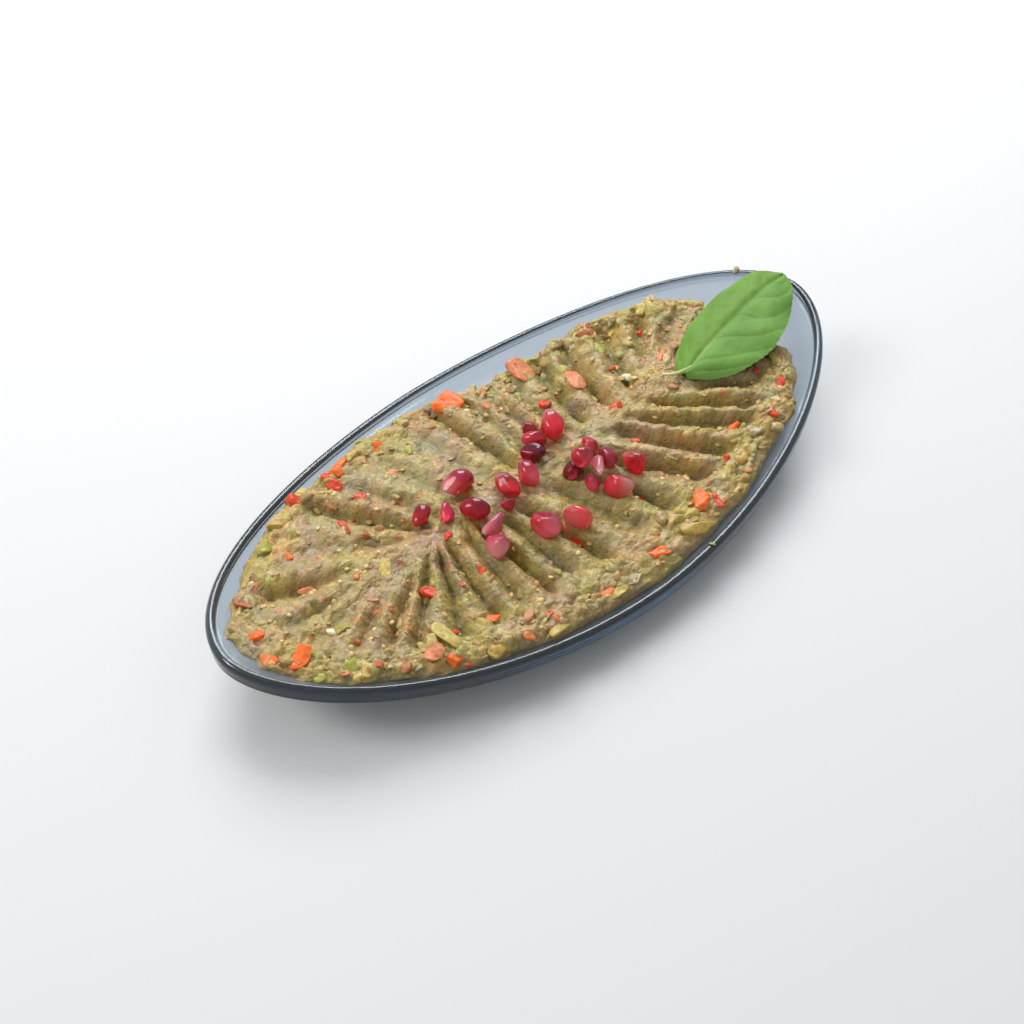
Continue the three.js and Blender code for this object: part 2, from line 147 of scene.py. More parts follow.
def swell(x, y, cell, seed):
    """-1..1: random heights at the corners of square cells, blended with 3t^2 - 2t^3."""
    gx, gy = x / cell, y / cell
    ix, iy = np.floor(gx), np.floor(gy)
    tx, ty = ease(gx - ix, 0, 1), ease(gy - iy, 0, 1)
    low = blend(chance(ix, iy, seed), chance(ix + 1, iy, seed), tx)
    high = blend(chance(ix, iy + 1, seed), chance(ix + 1, iy + 1, seed), tx)
    return 2 * blend(low, high, ty) - 1


def crumbs(x, y, z, cell, seed):
    """Distances, in cells, to the nearest and next nearest jittered point in space, and a
    0..1 number of the nearest. The third axis keeps cells round on steep sides too."""
    place = [value / cell for value in (x, y, z)]
    home = [np.floor(value) for value in place]
    nearest = np.full(np.shape(place[0]), 9.0)
    second, mark = nearest.copy(), np.zeros(nearest.shape)
    for step in np.ndindex(3, 3, 3):
        cx, cy, cz = (corner + move - 1 for corner, move in zip(home, step))
        ix, iy = cx + 57 * cz, cy - 31 * cz
        far = 0
        for corner, value, shift in zip((cx, cy, cz), place, (0, 9, 5)):
            far = far + (corner + 0.1 + 0.8 * chance(ix, iy, seed + shift) - value) ** 2
        far = np.sqrt(far)
        second = np.minimum(second, np.maximum(far, nearest))
        mark = np.where(far < nearest, chance(ix, iy, seed + 17), mark)
        nearest = np.minimum(nearest, far)
    return nearest, second, mark


def mounds(x, y, z, cell, seed, width):
    """Heights of crumbs, 0 in the crease between two and 1 on top: the root of (next
    nearest - nearest) / width. Gives the 0..1 number of each crumb too."""
    near, next_near, mark = crumbs(x, y, z, cell, seed)
    return np.sqrt(np.clip((next_near - near) / width, 0, 1)), mark


trial = np.linspace(0, 50, 200)
trial = swell(trial, trial, 3, 1)
print("swell runs from", trial.min().round(2), "to", trial.max().round(2))

# %% [markdown]
# ## Finishes
# All the food is moist. Each finish starts from the same shader: the tint of the points,
# made livelier by fine noise on Object coordinates, and a bump for grain that is finer
# than the mesh. Light that enters an aril comes out again a little further on, redder.
# Subsurface scattering does that; its radius is how far each colour travels.

# %% A food finish


def blank_finish(name):
    """A new material with its node tree and its shader."""
    finish = bpy.data.materials.new(name)
    finish.use_nodes = True
    return finish, finish.node_tree, finish.node_tree.nodes["Principled BSDF"]


def connect(node, sockets):
    """Gives each named socket of a node its constant, or a wire from another's output."""
    for socket, value in sockets.items():
        if isinstance(value, bpy.types.NodeSocket):
            node.id_data.links.new(value, node.inputs[socket])
        else:
            node.inputs[socket].default_value = value


def point_tint(tree):
    """The output that carries the tint of the points."""
    tint = tree.nodes.new("ShaderNodeAttribute")
    tint.attribute_name = "tint"
    return tint.outputs["Color"]


def food_finish(name, grain, bump, shade, crumb=0.0, weight=0.0, reach=0.0, radius=(), **values):
    """A finish from the tint: grain is the size of its finest noise, bump its height, and
    shade how far noise darkens and lightens the tint. Crumb is the size of rounded cells
    added to the bump. Scattered light travels reach times a radius for each colour."""
    finish, tree, shader = blank_finish(name)
    place = tree.nodes.new("ShaderNodeTexCoord").outputs["Object"]
    noise = tree.nodes.new("ShaderNodeTexNoise")
    connect(noise, {"Scale": 1000 / (2.2 * grain), "Detail": 4, "Vector": place})
    height = noise.outputs["Fac"]
    lively = tree.nodes.new("ShaderNodeMapRange")
    span = {"From Min": 0.3, "From Max": 0.7, "To Min": 1 - shade, "To Max": 1 + shade}
    connect(lively, {**span, "Value": height})
    times = tree.nodes.new("ShaderNodeVectorMath")
    times.operation = "SCALE"
    connect(times, {0: point_tint(tree), "Scale": lively.outputs["Result"]})
    if crumb:
        cells = tree.nodes.new("ShaderNodeTexVoronoi")
        cells.feature = "SMOOTH_F1"
        connect(cells, {"Scale": 1000 / crumb, "Vector": place})
        both = tree.nodes.new("ShaderNodeMath")
        both.operation = "SUBTRACT"
        connect(both, {0: height, 1: cells.outputs["Distance"]})
        height = both.outputs["Value"]
    relief = tree.nodes.new("ShaderNodeBump")
    connect(relief, {"Strength": 1, "Distance": bump * MM, "Height": height})
    connect(shader, {"Base Color": times.outputs["Vector"], "Normal": relief.outputs["Normal"]})
    connect(shader, {socket.replace("_", " "): value for socket, value in values.items()})
    if weight:
        connect(shader, {"Subsurface Weight": weight, "Subsurface Scale": reach * MM})
        connect(shader, {"Subsurface Radius": radius})
    return finish


MASH = food_finish(
    "moist_aubergine", grain=0.45, bump=0.3, shade=0.12, crumb=0.9, reach=1.2, weight=0.3,
    radius=(1.0, 0.8, 0.45), Roughness=0.5, Coat_Weight=0.16, Coat_Roughness=0.2,
)
PULP = food_finish(
    "soft_flesh", grain=0.5, bump=0.24, shade=0.12, crumb=0.9, reach=2, weight=0.5,
    radius=(1.0, 0.9, 0.4), Roughness=0.44, Coat_Weight=0.2, Coat_Roughness=0.2,
)
SEED = food_finish(
    "aubergine_seed", grain=0.6, bump=0.08, shade=0.1, Roughness=0.35, Coat_Weight=0.2, Coat_Roughness=0.2
)
PEPPER = food_finish(
    "chopped_pepper", grain=0.7, bump=0.2, shade=0.2, crumb=1.3, reach=1.2, weight=0.35,
    radius=(1.0, 0.4, 0.1), Roughness=0.45, Specular_IOR_Level=0.3, Coat_Weight=0.12,
)
ARIL = food_finish(
    "pomegranate_aril", grain=2.0, bump=0.14, shade=0.16, reach=3, weight=0.85, radius=(1.0, 0.2, 0.18),
    Roughness=0.14, IOR=1.36, Transmission_Weight=0.5, Coat_Weight=0.25, Coat_Roughness=0.05,
)
MINT = food_finish(
    "mint_leaf_green", grain=0.5, bump=0.06, shade=0.06, Roughness=0.62, Specular_IOR_Level=0.3
)
print("finishes:", [m.name for m in (MASH, PULP, SEED, PEPPER, ARIL, MINT)])

# %% [markdown]
# ## The glass
# Smoked glass has a little grey-blue colour all through. Absorption in the volume darkens
# light by the distance it travels, so the floor of the dish stays pale. In the rounded
# rim light also runs a long way round inside the bead. A straight path misses that, so
# the tint of the points adds it: hardly any inside, slate on the rim and outer wall.

# %% Smoked glass
SMOKE_DENSITY, SMOKE_COLOUR = 40, (0.2, 0.46, 0.56)
GLASS, glass_tree, glass_shader = blank_finish("smoked_glass")
connect(glass_shader, {"Base Color": point_tint(glass_tree), "Transmission Weight": 0.93})
connect(glass_shader, {"Roughness": 0.015, "IOR": 1.5})
smoke = glass_tree.nodes.new("ShaderNodeVolumeAbsorption")
connect(smoke, {"Color": (*SMOKE_COLOUR, 1), "Density": SMOKE_DENSITY})
connect(glass_tree.nodes["Material Output"], {"Volume": smoke.outputs["Volume"]})
print("absorption per metre:", [round(SMOKE_DENSITY * (1 - c)) for c in SMOKE_COLOUR])

# %% [markdown]
# ## The dish's form
# Seen from above the rim is a superellipse: |x/a|^p + |y/b|^p = 1 with p = 1.84 is a
# little more pointed than an ellipse (p = 2). From the side it is a parabola that rises
# to both ends. The inside climbs from a flat floor as a power of the distance.

# %% Outline, rim and inside
HALF_LENGTH, HALF_WIDTH, POWER = 124.0, 60.0, 1.84
SIDE_HEIGHT, END_LIFT = 16.0, 13.5
BEAD = 1.65  # radius of the rounded rim
WALL_TURN, WALL_DROP = 5.2, 6.2  # below the rim's top: where the wall turns under, and its end
FLOOR, FLOOR_REACH, FOOT_REACH = 4.0, 0.35, 0.5
INSIDE_CLIMB, UNDER_CLIMB = 1.8, 1.6  # powers of the rise from the floor and from the foot


def outline(angle, inset, share=1.0):
    """A point of the superellipse, inset from the rim's centre line: the cosine and sine
    raised to 2/p, keeping their signs."""
    c, s = np.cos(angle), np.sin(angle)
    x = share * (HALF_LENGTH - inset) * np.sign(c) * np.abs(c) ** (2 / POWER)
    y = share * (HALF_WIDTH - inset) * np.sign(s) * np.abs(s) ** (2 / POWER)
    return x, y


def rim_top(x):
    """Height of the rim: the side height plus a parabola."""
    return SIDE_HEIGHT + END_LIFT * (x / HALF_LENGTH) ** 2


def inside_height(x, y):
    """Height of the glass under a point: flat, then ((share - flat) / rest)^1.8 up to
    the inside of the rim along the ray from the middle."""
    a, b = HALF_LENGTH - BEAD, HALF_WIDTH - BEAD
    share = (np.abs(x / a) ** POWER + np.abs(y / b) ** POWER) ** (1 / POWER)
    climb = np.clip((share - FLOOR_REACH) / (1 - FLOOR_REACH), 0, None) ** INSIDE_CLIMB
    return FLOOR + (rim_top(x / np.maximum(share, 0.2)) - BEAD - FLOOR) * climb


print("rim height at the side and at the end:", rim_top(0), rim_top(HALF_LENGTH))

# %% [markdown]
# The dish is one stack of rings: up the inside, over the rounded rim, down the short
# outer wall and back under to the foot. A half circle makes the rim's bead; its curve
# draws the long bright line that runs round the dish. The glass casts no shadow: a path
# tracer can't aim at a lamp through curved glass, which would leave a black shadow where
# clear glass lets nearly all the light through.

# %% The dish
turn = np.linspace(0, 2 * np.pi, 320, endpoint=False)[None, :]


def level(x, y, z):
    """Rings from arrays that may differ in shape."""
    return np.stack(np.broadcast_arrays(x, y, z), -1)


INNERMOST, OUTERMOST = 0.03, 0.985  # shares of the first and last ring of each face
share = np.linspace(INNERMOST, OUTERMOST, 34)[:, None]
x, y = outline(turn, BEAD, share)
inside = level(x, y, inside_height(x, y))
arc = np.linspace(0, np.pi, 15)[:, None]
drop = np.linspace(BEAD, WALL_DROP, 12)[1:, None]
lean = 1 - 0.25 * ease(drop, BEAD, WALL_TURN) - 0.45 * np.clip(drop - WALL_TURN, 0, 1) ** 2
inset = np.concatenate([BEAD * np.cos(arc), -BEAD * lean])
drop = np.concatenate([BEAD - BEAD * np.sin(arc), drop])
x, y = outline(turn, inset)
wall = level(x, y, rim_top(outline(turn, 0)[0]) - drop)
share = np.linspace(OUTERMOST, INNERMOST, 30)[:, None]
x, y = outline(turn, 0, share)
climb = np.clip((share - FOOT_REACH) / (1 - FOOT_REACH), 0, 1) ** UNDER_CLIMB
under = level(x, y, (rim_top(x / share) - WALL_DROP) * climb)
rings = np.concatenate([inside, wall, under])
CLEAR, SLATE = np.array([0.96, 0.98, 1.0]), np.array([0.3, 0.36, 0.44])
wall_from, wall_to = len(inside), len(inside) + len(wall)
row = np.arange(len(rings))[:, None, None]
slaty = ease(row, wall_from - 1.5, wall_from + 3) * (1 - ease(row, wall_to + 1, wall_to + 5))
glass_colours = closed_stack(CLEAR, blend(CLEAR, SLATE, slaty) + 0 * rings, CLEAR)
points = closed_stack((0, 0, FLOOR), rings, (0, 0, 0))
dish = make_piece("glass_dish", points, stack_faces(*rings.shape[:2]), GLASS, glass_colours)
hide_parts("dish")
dish.visible_shadow = False

# %% [markdown]
# ## The combed rows
# Each row was made by drawing a spoon from the middle of the dish to its edge. The
# surface has two parameters. The column counts the furrows anticlockwise and the share
# says how far out a point lies, from the spine at 0 to the edge at 1. Each furrow has its
# start on the spine, the direction in which it meets the edge, its depth and its reach.

# %% Furrows
FURROWS = np.array([
    [-52, -166, 1.6, 0.8], [-50, -153, 2.6, 0.8], [-47, -143.5, 4.2, 0.8],
    [-43.5, -137, 4.4, 0.85], [-42, -126, 5.2, 0.88], [-40, -117, 5.2, 0.8],
    [-32, -112, 3.6, 0.8], [-27, -105, 5.4, 0.78], [-19, -100, 4.6, 0.78],
    [-14, -91.5, 5.6, 0.8], [-0.5, -80, 3.4, 0.78], [10.4, -73, 5.2, 0.8],
    [18, -61, 5.8, 0.85], [33, -54, 5.4, 0.85], [40, -45, 5.0, 0.85],
    [50, -39, 4.4, 0.85], [57, -30, 4.0, 0.85], [60, -17, 3.0, 0.85],
    [61, 1, 2.0, 0.85], [60, 19, 2.6, 0.9], [58, 30, 3.0, 0.9],
    [56, 41, 3.4, 0.9], [52, 50, 4.8, 0.95], [42, 58.5, 5.2, 0.97],
    [29, 63.5, 5.4, 0.97], [22, 71, 2.6, 0.9], [15, 77, 3.0, 0.9],
    [8, 83, 2.4, 0.9], [0, 89.5, 5.0, 0.97], [-11, 98, 1.8, 0.85],
    [-22, 107, 2.0, 0.85], [-31, 116, 2.8, 0.85], [-38.5, 123, 5.0, 0.97],
    [-43, 138, 2.0, 0.8], [-50, 156, 4.6, 0.9], [-51, 177, 2.8, 0.8], [-52, 194, 1.6, 0.8],
])
EDGE_REACH = 0.952


def edge_share(angle):
    """How far out the food reaches: short of the rim at the leaf end and along part of
    the far side, and ragged by three waves."""
    bays = 0.115 * np.exp(-((angle / 26) ** 2)) + 0.15 * np.exp(-(((angle - 74) / 16) ** 2))
    a = np.radians(angle)
    ragged = 0.006 * np.sin(9 * a + 0.7) + 0.005 * np.sin(17 * a + 2) + 0.004 * np.sin(31 * a)
    return EDGE_REACH - bays + ragged


def groove(share, crest):
    """1 in a furrow and 0 on the crest between two: a sharp bottom and a round top. The
    crest lies at its own share, so that one side is steeper than the other."""
    t = np.where(share < crest, share / crest, (1 - share) / (1 - crest))
    return 1 - ((1 - np.cos(np.pi * t)) / 2) ** 0.6


print("furrows:", len(FURROWS) - 1, "deepest:", FURROWS[:, 2].max(), "mm")

# %% [markdown]
# The bare heap is a low dome from the crest to the edge, with the furrows cut into it
# and soft lumps added. On it come the crumbs. Close to the spine nothing is combed.

# %% The bare heap
CREST_HEIGHT, EDGE_HEIGHT, EDGE_DROP = 23, SIDE_HEIGHT + 1.5, 1.6
EDGE_LIFT = 0.83  # how much of the rim's lift the edge of the food follows
BOW = 2.4  # sideways bend of the rows at the leaf end


def heap(column, share):
    """Plan and height of the food's top, and how deep in a furrow each point is (0..1):
    a line from the spine to the edge, a dome that falls with the square of the share, and
    a groove that fades in from the spine and runs out before the edge."""
    i = np.floor(column).astype(int) % (len(FURROWS) - 1)
    f = column - np.floor(column)
    here, after = FURROWS[i], FURROWS[i + 1]
    spine, angle, depth, reach = np.moveaxis(blend(here, after, f[..., None]), -1, 0)
    angle = np.where(angle > 180, angle - 360, angle)
    edge_x, edge_y = outline(np.radians(angle), BEAD, edge_share(angle))
    x = blend(spine, edge_x, share) - BOW * np.clip(spine / 40, 0, 1) * np.sin(np.pi * share)
    y = edge_y * share
    edge_z = EDGE_HEIGHT + EDGE_LIFT * END_LIFT * (edge_x / HALF_LENGTH) ** 2
    dome = CREST_HEIGHT + (edge_z - CREST_HEIGHT) * share**2 - EDGE_DROP * ease(share, 0.95, 1)
    fanned = np.clip((np.abs(spine - 4) - 46) / 8, 0, 1)  # 1 where the rows fan round an end
    combed = ease(share, 0.04 + 0.22 * fanned, 0.2 + 0.42 * fanned)
    combed = combed * (1 - ease(share, reach - 0.12, reach + 0.04))
    between = (here[..., 1] + after[..., 1]) / 2
    furrow = groove(f, 0.5 - 0.2 * np.cos(np.radians(between + 44))) * combed
    soft = 0.45 * np.sin(0.52 * x + 1.3 * np.sin(0.21 * y)) * np.sin(0.61 * y + 0.8)
    soft += 0.3 * np.sin(0.93 * x - 0.4 * y) * np.sin(0.37 * x + 0.88 * y)
    ripple = 1 + 0.18 * swell(x + 60, y, 8, 3)
    x, y = x + 0.9 * swell(x, y, 9, 11), y + 0.9 * swell(x, y, 9, 12)
    return x, y, dome - depth * furrow * ripple + soft, furrow


COLUMNS_PER_FURROW, ROWS = 21, 112
column, share = np.meshgrid(
    np.arange((len(FURROWS) - 1) * COLUMNS_PER_FURROW) / COLUMNS_PER_FURROW,
    0.001 + 0.999 * np.linspace(0, 1, ROWS) ** 0.92,
)
bare_x, bare_y, bare_z, furrow = heap(column, share)
print("heap from", bare_z.min().round(1), "to", bare_z.max().round(1), "mm")

# %% [markdown]
# Chopped flesh has three sizes of detail: lumps of 6 mm, chunks of 3 mm, some of which
# stand out of the heap, and crumbs of 1.5 mm. All three are larger in the border that
# the spoon never combed. The detail stands out square to the bare surface: its direction
# is the cross product of the steps to the next point along the row and across it.

# %% Lumps, chunks and crumbs
LUMP, CHUNK, CRUMB = (6.2, 4), (3.4, 1), (1.6, 2)  # size of the cells and seed
MEAN_MOUND = 0.6  # about the mean height of a mound, so that detail adds no height
PROUD_MARK, PROUD = 0.7, 0.7  # chunks with a mark over the first stand out by the second
bare = np.stack([bare_x, bare_y, bare_z], -1)
across_rows = np.roll(bare, -1, 1) - np.roll(bare, 1, 1)
outwards = np.cross(np.gradient(bare, axis=0), across_rows)
outwards[..., 2] = np.maximum(outwards[..., 2], 1e-6)
outwards /= np.linalg.norm(outwards, axis=-1, keepdims=True)
spread = ease(share, 0.0, 0.16)[..., None]  # near the spine the rows are too close for it
outwards = blend(UP, outwards, spread)

slanted = (bare_x + 0.7 * bare_z, bare_y - 0.4 * bare_z)
warped = [bare[..., i] + 0.8 * swell(*slanted, 2.3, 21 + i) for i in range(3)]
lump, lump_mark = mounds(*warped, *LUMP, 0.45)
lump = lump * (0.4 + lump_mark)
chunk, chunk_mark = mounds(*warped, *CHUNK, 0.5)
crumb, crumb_mark = mounds(*warped, *CRUMB, 0.5)
border = ease(share, 0.74, 0.86)
height = 0
for mound, combed, more in ((chunk, 0.42, 0.4), (crumb, 0.36, 0.16), (lump, 0.3, 0.8)):
    height = height + (combed + more * border) * (mound - MEAN_MOUND)
proud = np.where(chunk_mark > PROUD_MARK, PROUD, 0.0) * (chunk_mark - PROUD_MARK) / 0.3
height += proud * chunk * (1 - 0.7 * furrow)
height = height * (1 - 0.3 * furrow) * ease(share, 0, 0.03) + 0.35 * swell(bare_x, bare_y, 4, 8)
food_x, food_y, food_z = np.moveaxis(bare + outwards * height[..., None], -1, 0)
print("detail from", height.min().round(2), "to", height.max().round(2), "mm")

# %% [markdown]
# ## Arils: where they lie
# An aril is a juicy red sac round a seed, about 10 mm long. Its place comes from the solid
# model; the table adds its size, turn and colours. The food gives way under an aril, so
# its surface is pushed down to the aril's underside.

# %% Aril table
# length, width, yaw, pitch, body colour, tip colour, darkness of the shaded side
ARILS = [
    (11, 8.8, -102, -12, (216, 40, 56), (240, 140, 148), 0.2),
    (7, 5.2, 100, 0, (150, 20, 34), (190, 60, 70), 0.5),
    (8.4, 5.8, -44, 0, (196, 30, 46), (222, 80, 92), 0.5),
    (9.4, 6.4, -44, 0, (138, 14, 32), (176, 34, 50), 0.8),
    (10.2, 7, 82, 6, (206, 44, 66), (232, 110, 124), 0.4),
    (11, 7.2, -100, -6, (206, 28, 44), (236, 112, 104), 0.8),
    (11.8, 8, -2, 0, (206, 34, 52), (238, 140, 146), 0.6),
    (10.2, 8, -44, 0, (170, 18, 34), (190, 34, 46), 0.7),
    (8, 5.2, 46, 0, (214, 44, 76), (230, 84, 110), 0.2), (9, 6, 30, 0, (184, 22, 38), (206, 50, 64), 0.5),
    (5.4, 4.2, -44, 0, (176, 24, 44), (190, 60, 80), 0.5),
    (11, 5.4, 11, 0, (226, 110, 128), (240, 160, 166), 0.2),
    (9.4, 8.4, 46, 0, (214, 66, 84), (240, 170, 170), 0.3),
    (10.8, 9.2, 88, 0, (220, 48, 68), (240, 140, 150), 0.8),
    (10.2, 8.2, -44, 0, (228, 76, 84), (240, 130, 132), 0.15),
    (8.4, 6.8, 20, 0, (112, 10, 24), (150, 24, 40), 0.8),
    (8.2, 6.8, 60, 0, (192, 36, 54), (214, 70, 86), 0.4),
    (6.4, 5.6, 40, 0, (206, 40, 66), (226, 90, 110), 0.3),
    (7.4, 6.4, 60, 0, (182, 34, 58), (206, 70, 88), 0.4),
    (9, 4.4, 46, -8, (230, 120, 136), (246, 200, 200), 0.1),
    (6, 5.2, 60, 0, (206, 46, 72), (226, 90, 106), 0.2),
    (9.6, 8.2, 136, 0, (222, 52, 66), (248, 190, 182), 0.15),
    (9.6, 7.8, -77, 0, (214, 34, 44), (240, 110, 104), 0.8),
]
DENT_ROOM, DENT_LIFT = 0.3, 0.15  # the dent is wider than its aril, and a little shallower
aril_nodes = ["aril_%02d" % (i + 1) for i in range(len(ARILS))]
aril_centres = [(np.array(lo) + np.array(hi)) / 2 / MM for lo, hi in map(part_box, aril_nodes)]
for (length, width, yaw, *_), centre in zip(ARILS, aril_centres):
    c, s = np.cos(np.radians(yaw)), np.sin(np.radians(yaw))
    dx, dy = food_x - centre[0], food_y - centre[1]
    out = ((dx * c + dy * s) / (length / 2 + DENT_ROOM)) ** 2
    out = out + ((dy * c - dx * s) / (width / 2 + DENT_ROOM)) ** 2
    belly = centre[2] - width / 2 * np.sqrt(np.clip(1 - out, 0, 1)) + DENT_LIFT
    food_z = np.where(out < 1, np.minimum(food_z, belly), food_z)
print("arils:", len(ARILS))

# %% [markdown]
# ## The leaf's form
# A mint leaf is widest in the middle and its two halves differ. Its shape is a function
# of two parameters: the share along the midrib and the place across, from -1 at the
# right edge to 1 at the left. A sine, skewed and rounded by two powers, gives the width.

# %% Leaf plan
LEAF_BASE, LEAF_TIP = np.array([67, -4.2, 26.4]), np.array([123.6, 3.7, 33.6])
leaf_axis = LEAF_TIP - LEAF_BASE
leaf_side = np.array([-leaf_axis[1], leaf_axis[0], 0]) / np.hypot(leaf_axis[0], leaf_axis[1])
LEFT_HALF, RIGHT_HALF = (12.2, 0.88, 0.43), (17.7, 0.76, 0.87)  # width, skew and fullness
LEAF_GAP = 0.7  # from the leaf's middle layer down to the food


def leaf_width(along, across):
    """Half the leaf's width on the side of across: width times sin(pi (0.93 along)^skew)
    ^fullness, rounded off like a circle over the last tenth."""
    halves = zip(LEFT_HALF, RIGHT_HALF)
    width, skew, fullness = (np.where(across > 0, left, right) for left, right in halves)
    swollen = np.sin(np.pi * (0.93 * np.clip(along, 0.001, 1)) ** skew) ** fullness
    return width * swollen * np.sqrt(1 - np.clip(1 - (1 - along) / 0.1, 0, 0.9999) ** 2)


def leaf_rise(along, across):
    """Height over the line from base to tip: an arch, a droop to the edges and the tip, a
    soft wave and a crease along the midrib."""
    away = np.abs(across)
    wave = 0.35 * np.sin(22 * along - 5 * away) * away
    fall = away**2 + (1 - away**2) * ease(along, 0.8, 1)
    arch = 2.5 * np.sin(np.pi * np.clip(along, 0, 1)) - 2.6 * fall
    return arch + wave - 0.5 * np.exp(-((across / 0.12) ** 2))


from_x, from_y = food_x - LEAF_BASE[0], food_y - LEAF_BASE[1]
along = (from_x * leaf_axis[0] + from_y * leaf_axis[1]) / (leaf_axis[:2] ** 2).sum()
aside = from_x * leaf_side[0] + from_y * leaf_side[1]
across = aside / leaf_width(along, aside)
leaf_z = LEAF_BASE[2] + leaf_axis[2] * along + leaf_rise(along, np.clip(across, -1, 1))
under_leaf = (along > -0.02) & (along < 1) & (np.abs(across) < 1.05)
food_z = np.where(under_leaf, np.minimum(food_z, leaf_z - LEAF_GAP), food_z)
print("points under the leaf:", int(under_leaf.sum()))

# %% [markdown]
# ## Colours of the mash
# Smoked aubergine is khaki with straw, grey-green, pinkish and brown pieces. A painted
# shade makes it darker and greener down in the furrows and in the creases between crumbs.
# Each lump, chunk and crumb takes one tone of a palette; mixing the tones with khaki keeps
# it calm.

# %% Tint of the mash
KHAKI = srgb(168, 142, 86)
PALETTE = np.array([
    srgb(170, 144, 90), srgb(154, 138, 76), srgb(188, 162, 102), srgb(150, 142, 102),
    srgb(182, 138, 90), srgb(164, 136, 76), srgb(128, 102, 54), srgb(206, 182, 122),
])
LUMP_TONES = np.array([srgb(154, 149, 106), srgb(180, 144, 96), KHAKI, KHAKI, srgb(188, 172, 92)])
PATCHES = [  # size of the cells, seed and how far each colour leans
    (12, 31, (-0.05, 0.05, -0.16)), (7, 39, (0.06, 0.01, -0.28)), (5, 35, (-0.04, 0.04, -0.14)),
]
# Stains of pepper, green stalk and straw-coloured flesh, and their seeds
STAINS = [(srgb(198, 104, 64), 36), (srgb(160, 156, 64), 37), (srgb(206, 176, 100), 38)]


def pick(mark, tones=PALETTE, bias=1.5):
    """The tone for a 0..1 mark; with a bias over 1 the earlier ones are picked more often."""
    return tones[np.minimum((mark**bias * len(tones)).astype(int), len(tones) - 1)]


def mash_tint(x, y, z, lump_mark, chunk_mark, crumb_mark, furrow, crease):
    """Khaki mixed with the tone of each lump, chunk and crumb, patches that lean to green,
    grey or brown, small soft stains, and a painted shade, dark green-brown, in furrows and
    creases."""
    tint = 0.3 * KHAKI + 0.24 * pick(lump_mark, LUMP_TONES, 1)
    tint = tint + 0.32 * pick(chunk_mark) + 0.14 * pick(crumb_mark)
    for cell, seed, lean in PATCHES:
        tint = tint * (1 + swell(x + 7, y, cell, seed)[..., None] * np.array(lean))
    for colour, seed in STAINS:
        near, _, mark = crumbs(x + 0.6 * swell(x, y, 1.3, seed), y, z, 4.4, seed)
        stain = np.where(mark > 0.86, 0.7 * (1 - ease(near, 0.12, 0.42)), 0)[..., None]
        tint = blend(tint, colour, stain)
    bright = 1 + 0.06 * swell(x, y, 1.1, 33) + 0.1 * swell(x, y, 4, 34)
    # painted shade: darker and greener down in the furrows and in the creases between crumbs
    painted_furrow_shade = np.clip(0.75 * furrow**2.6 + 0.32 * (1 - crease), 0, 1)[..., None]
    return tint * bright[..., None] * (1 - painted_furrow_shade * np.array([0.5, 0.43, 0.52]))


marks = (lump_mark, chunk_mark, crumb_mark)
top_tint = mash_tint(bare_x, bare_y, bare_z, *marks, furrow, 0.5 * chunk + 0.5 * crumb)
paler = ease(chunk_mark + 0.5 * border - furrow, 0.6, 1.3)[..., None]
top_tint = top_tint * (1 + paler * np.array([0.17, 0.16, 0.04]))
print("mean tint:", top_tint.mean((0, 1)).round(3))

# %% [markdown]
# ## Closing the mash
# Round its edge the mash drops to the glass, leaning out a little, and its underside
# lies on the inside of the dish. It reaches a fraction of a millimetre into the glass:
# with a gap there, the glass would mirror the air instead of showing the food.

# %% Edge, underside and the piece
INTO_GLASS = 0.12
edge_x, edge_y, edge_z = food_x[-1], food_y[-1], food_z[-1]
down = np.linspace(0, 1, 11)[1:, None]
lean = 1 + (0.010 + 0.008 * swell(edge_x + 9 * down, edge_y - 7 * down, 2.5, 41)) * np.sin(np.pi * down)
side_x, side_y = edge_x * lean, edge_y * lean
glass_z = inside_height(edge_x, edge_y) - INTO_GLASS
side_z = blend(edge_z, glass_z, down)
side_z = np.maximum(side_z, inside_height(side_x, side_y) - INTO_GLASS)
below = np.array([0.93, 0.8, 0.6, 0.4, 0.2])[:, None]
base_x, base_y = edge_x * below, edge_y * below
base_z = inside_height(base_x, base_y) - INTO_GLASS
mash_rings = np.concatenate([
    level(food_x, food_y, food_z), level(side_x, side_y, side_z), level(base_x, base_y, base_z),
])
side_mounds = [mounds(side_x, side_y, side_z, *grade, 1) for grade in (LUMP, CHUNK, CRUMB)]
marks = [mark for _, mark in side_mounds]
side_tint = 0.88 * mash_tint(side_x, side_y, side_z, *marks, 0 * side_x, side_mounds[-1][0])
mash_colours = np.concatenate([top_tint, side_tint, np.repeat(side_tint[-1:], len(below), 0)])
rows, columns = mash_rings.shape[:2]
quads, fans = stack_faces(rows, columns)
spine_cap = np.arange(1, columns + 1)[None, :]
points = closed_stack(mash_rings[0].mean(0), mash_rings, (0, 0, FLOOR - INTO_GLASS))
faces = [quads - 1, spine_cap - 1, fans[columns:] - 1]
colours = np.concatenate([mash_colours.reshape(-1, 3), KHAKI[None] * 0.8])
mash = make_piece("aubergine_mash", points[1:], faces, MASH, colours)
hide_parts("aubergine_salad")

# %% [markdown]
# ## Arils: their form
# Its neighbours in the fruit pressed an aril flat on some sides, and it is fuller towards
# one end. The colour runs from pale at the tip, where it grew on the pith, to deep red. A
# painted shade with a purple painted sheen darkens one side, and a painted glow lightens
# the other.

# %% One aril


def pressed(unit, draw, planes, nearest, soft):
    """A unit form pressed flat by random planes, nearest to 0.95 of its radius away: what
    stands past a plane is pushed back onto it, with an edge as round as soft."""
    for _ in range(planes):
        facing = draw.normal(size=unit.shape[:-2] + (1, 3))
        facing = facing / np.linalg.norm(facing, axis=-1, keepdims=True)
        over = (unit * facing).sum(-1, keepdims=True) - draw.uniform(nearest, 0.95, facing[..., :1].shape)
        unit = unit - 0.5 * (over + np.sqrt(over**2 + soft**2)) * facing
    return unit


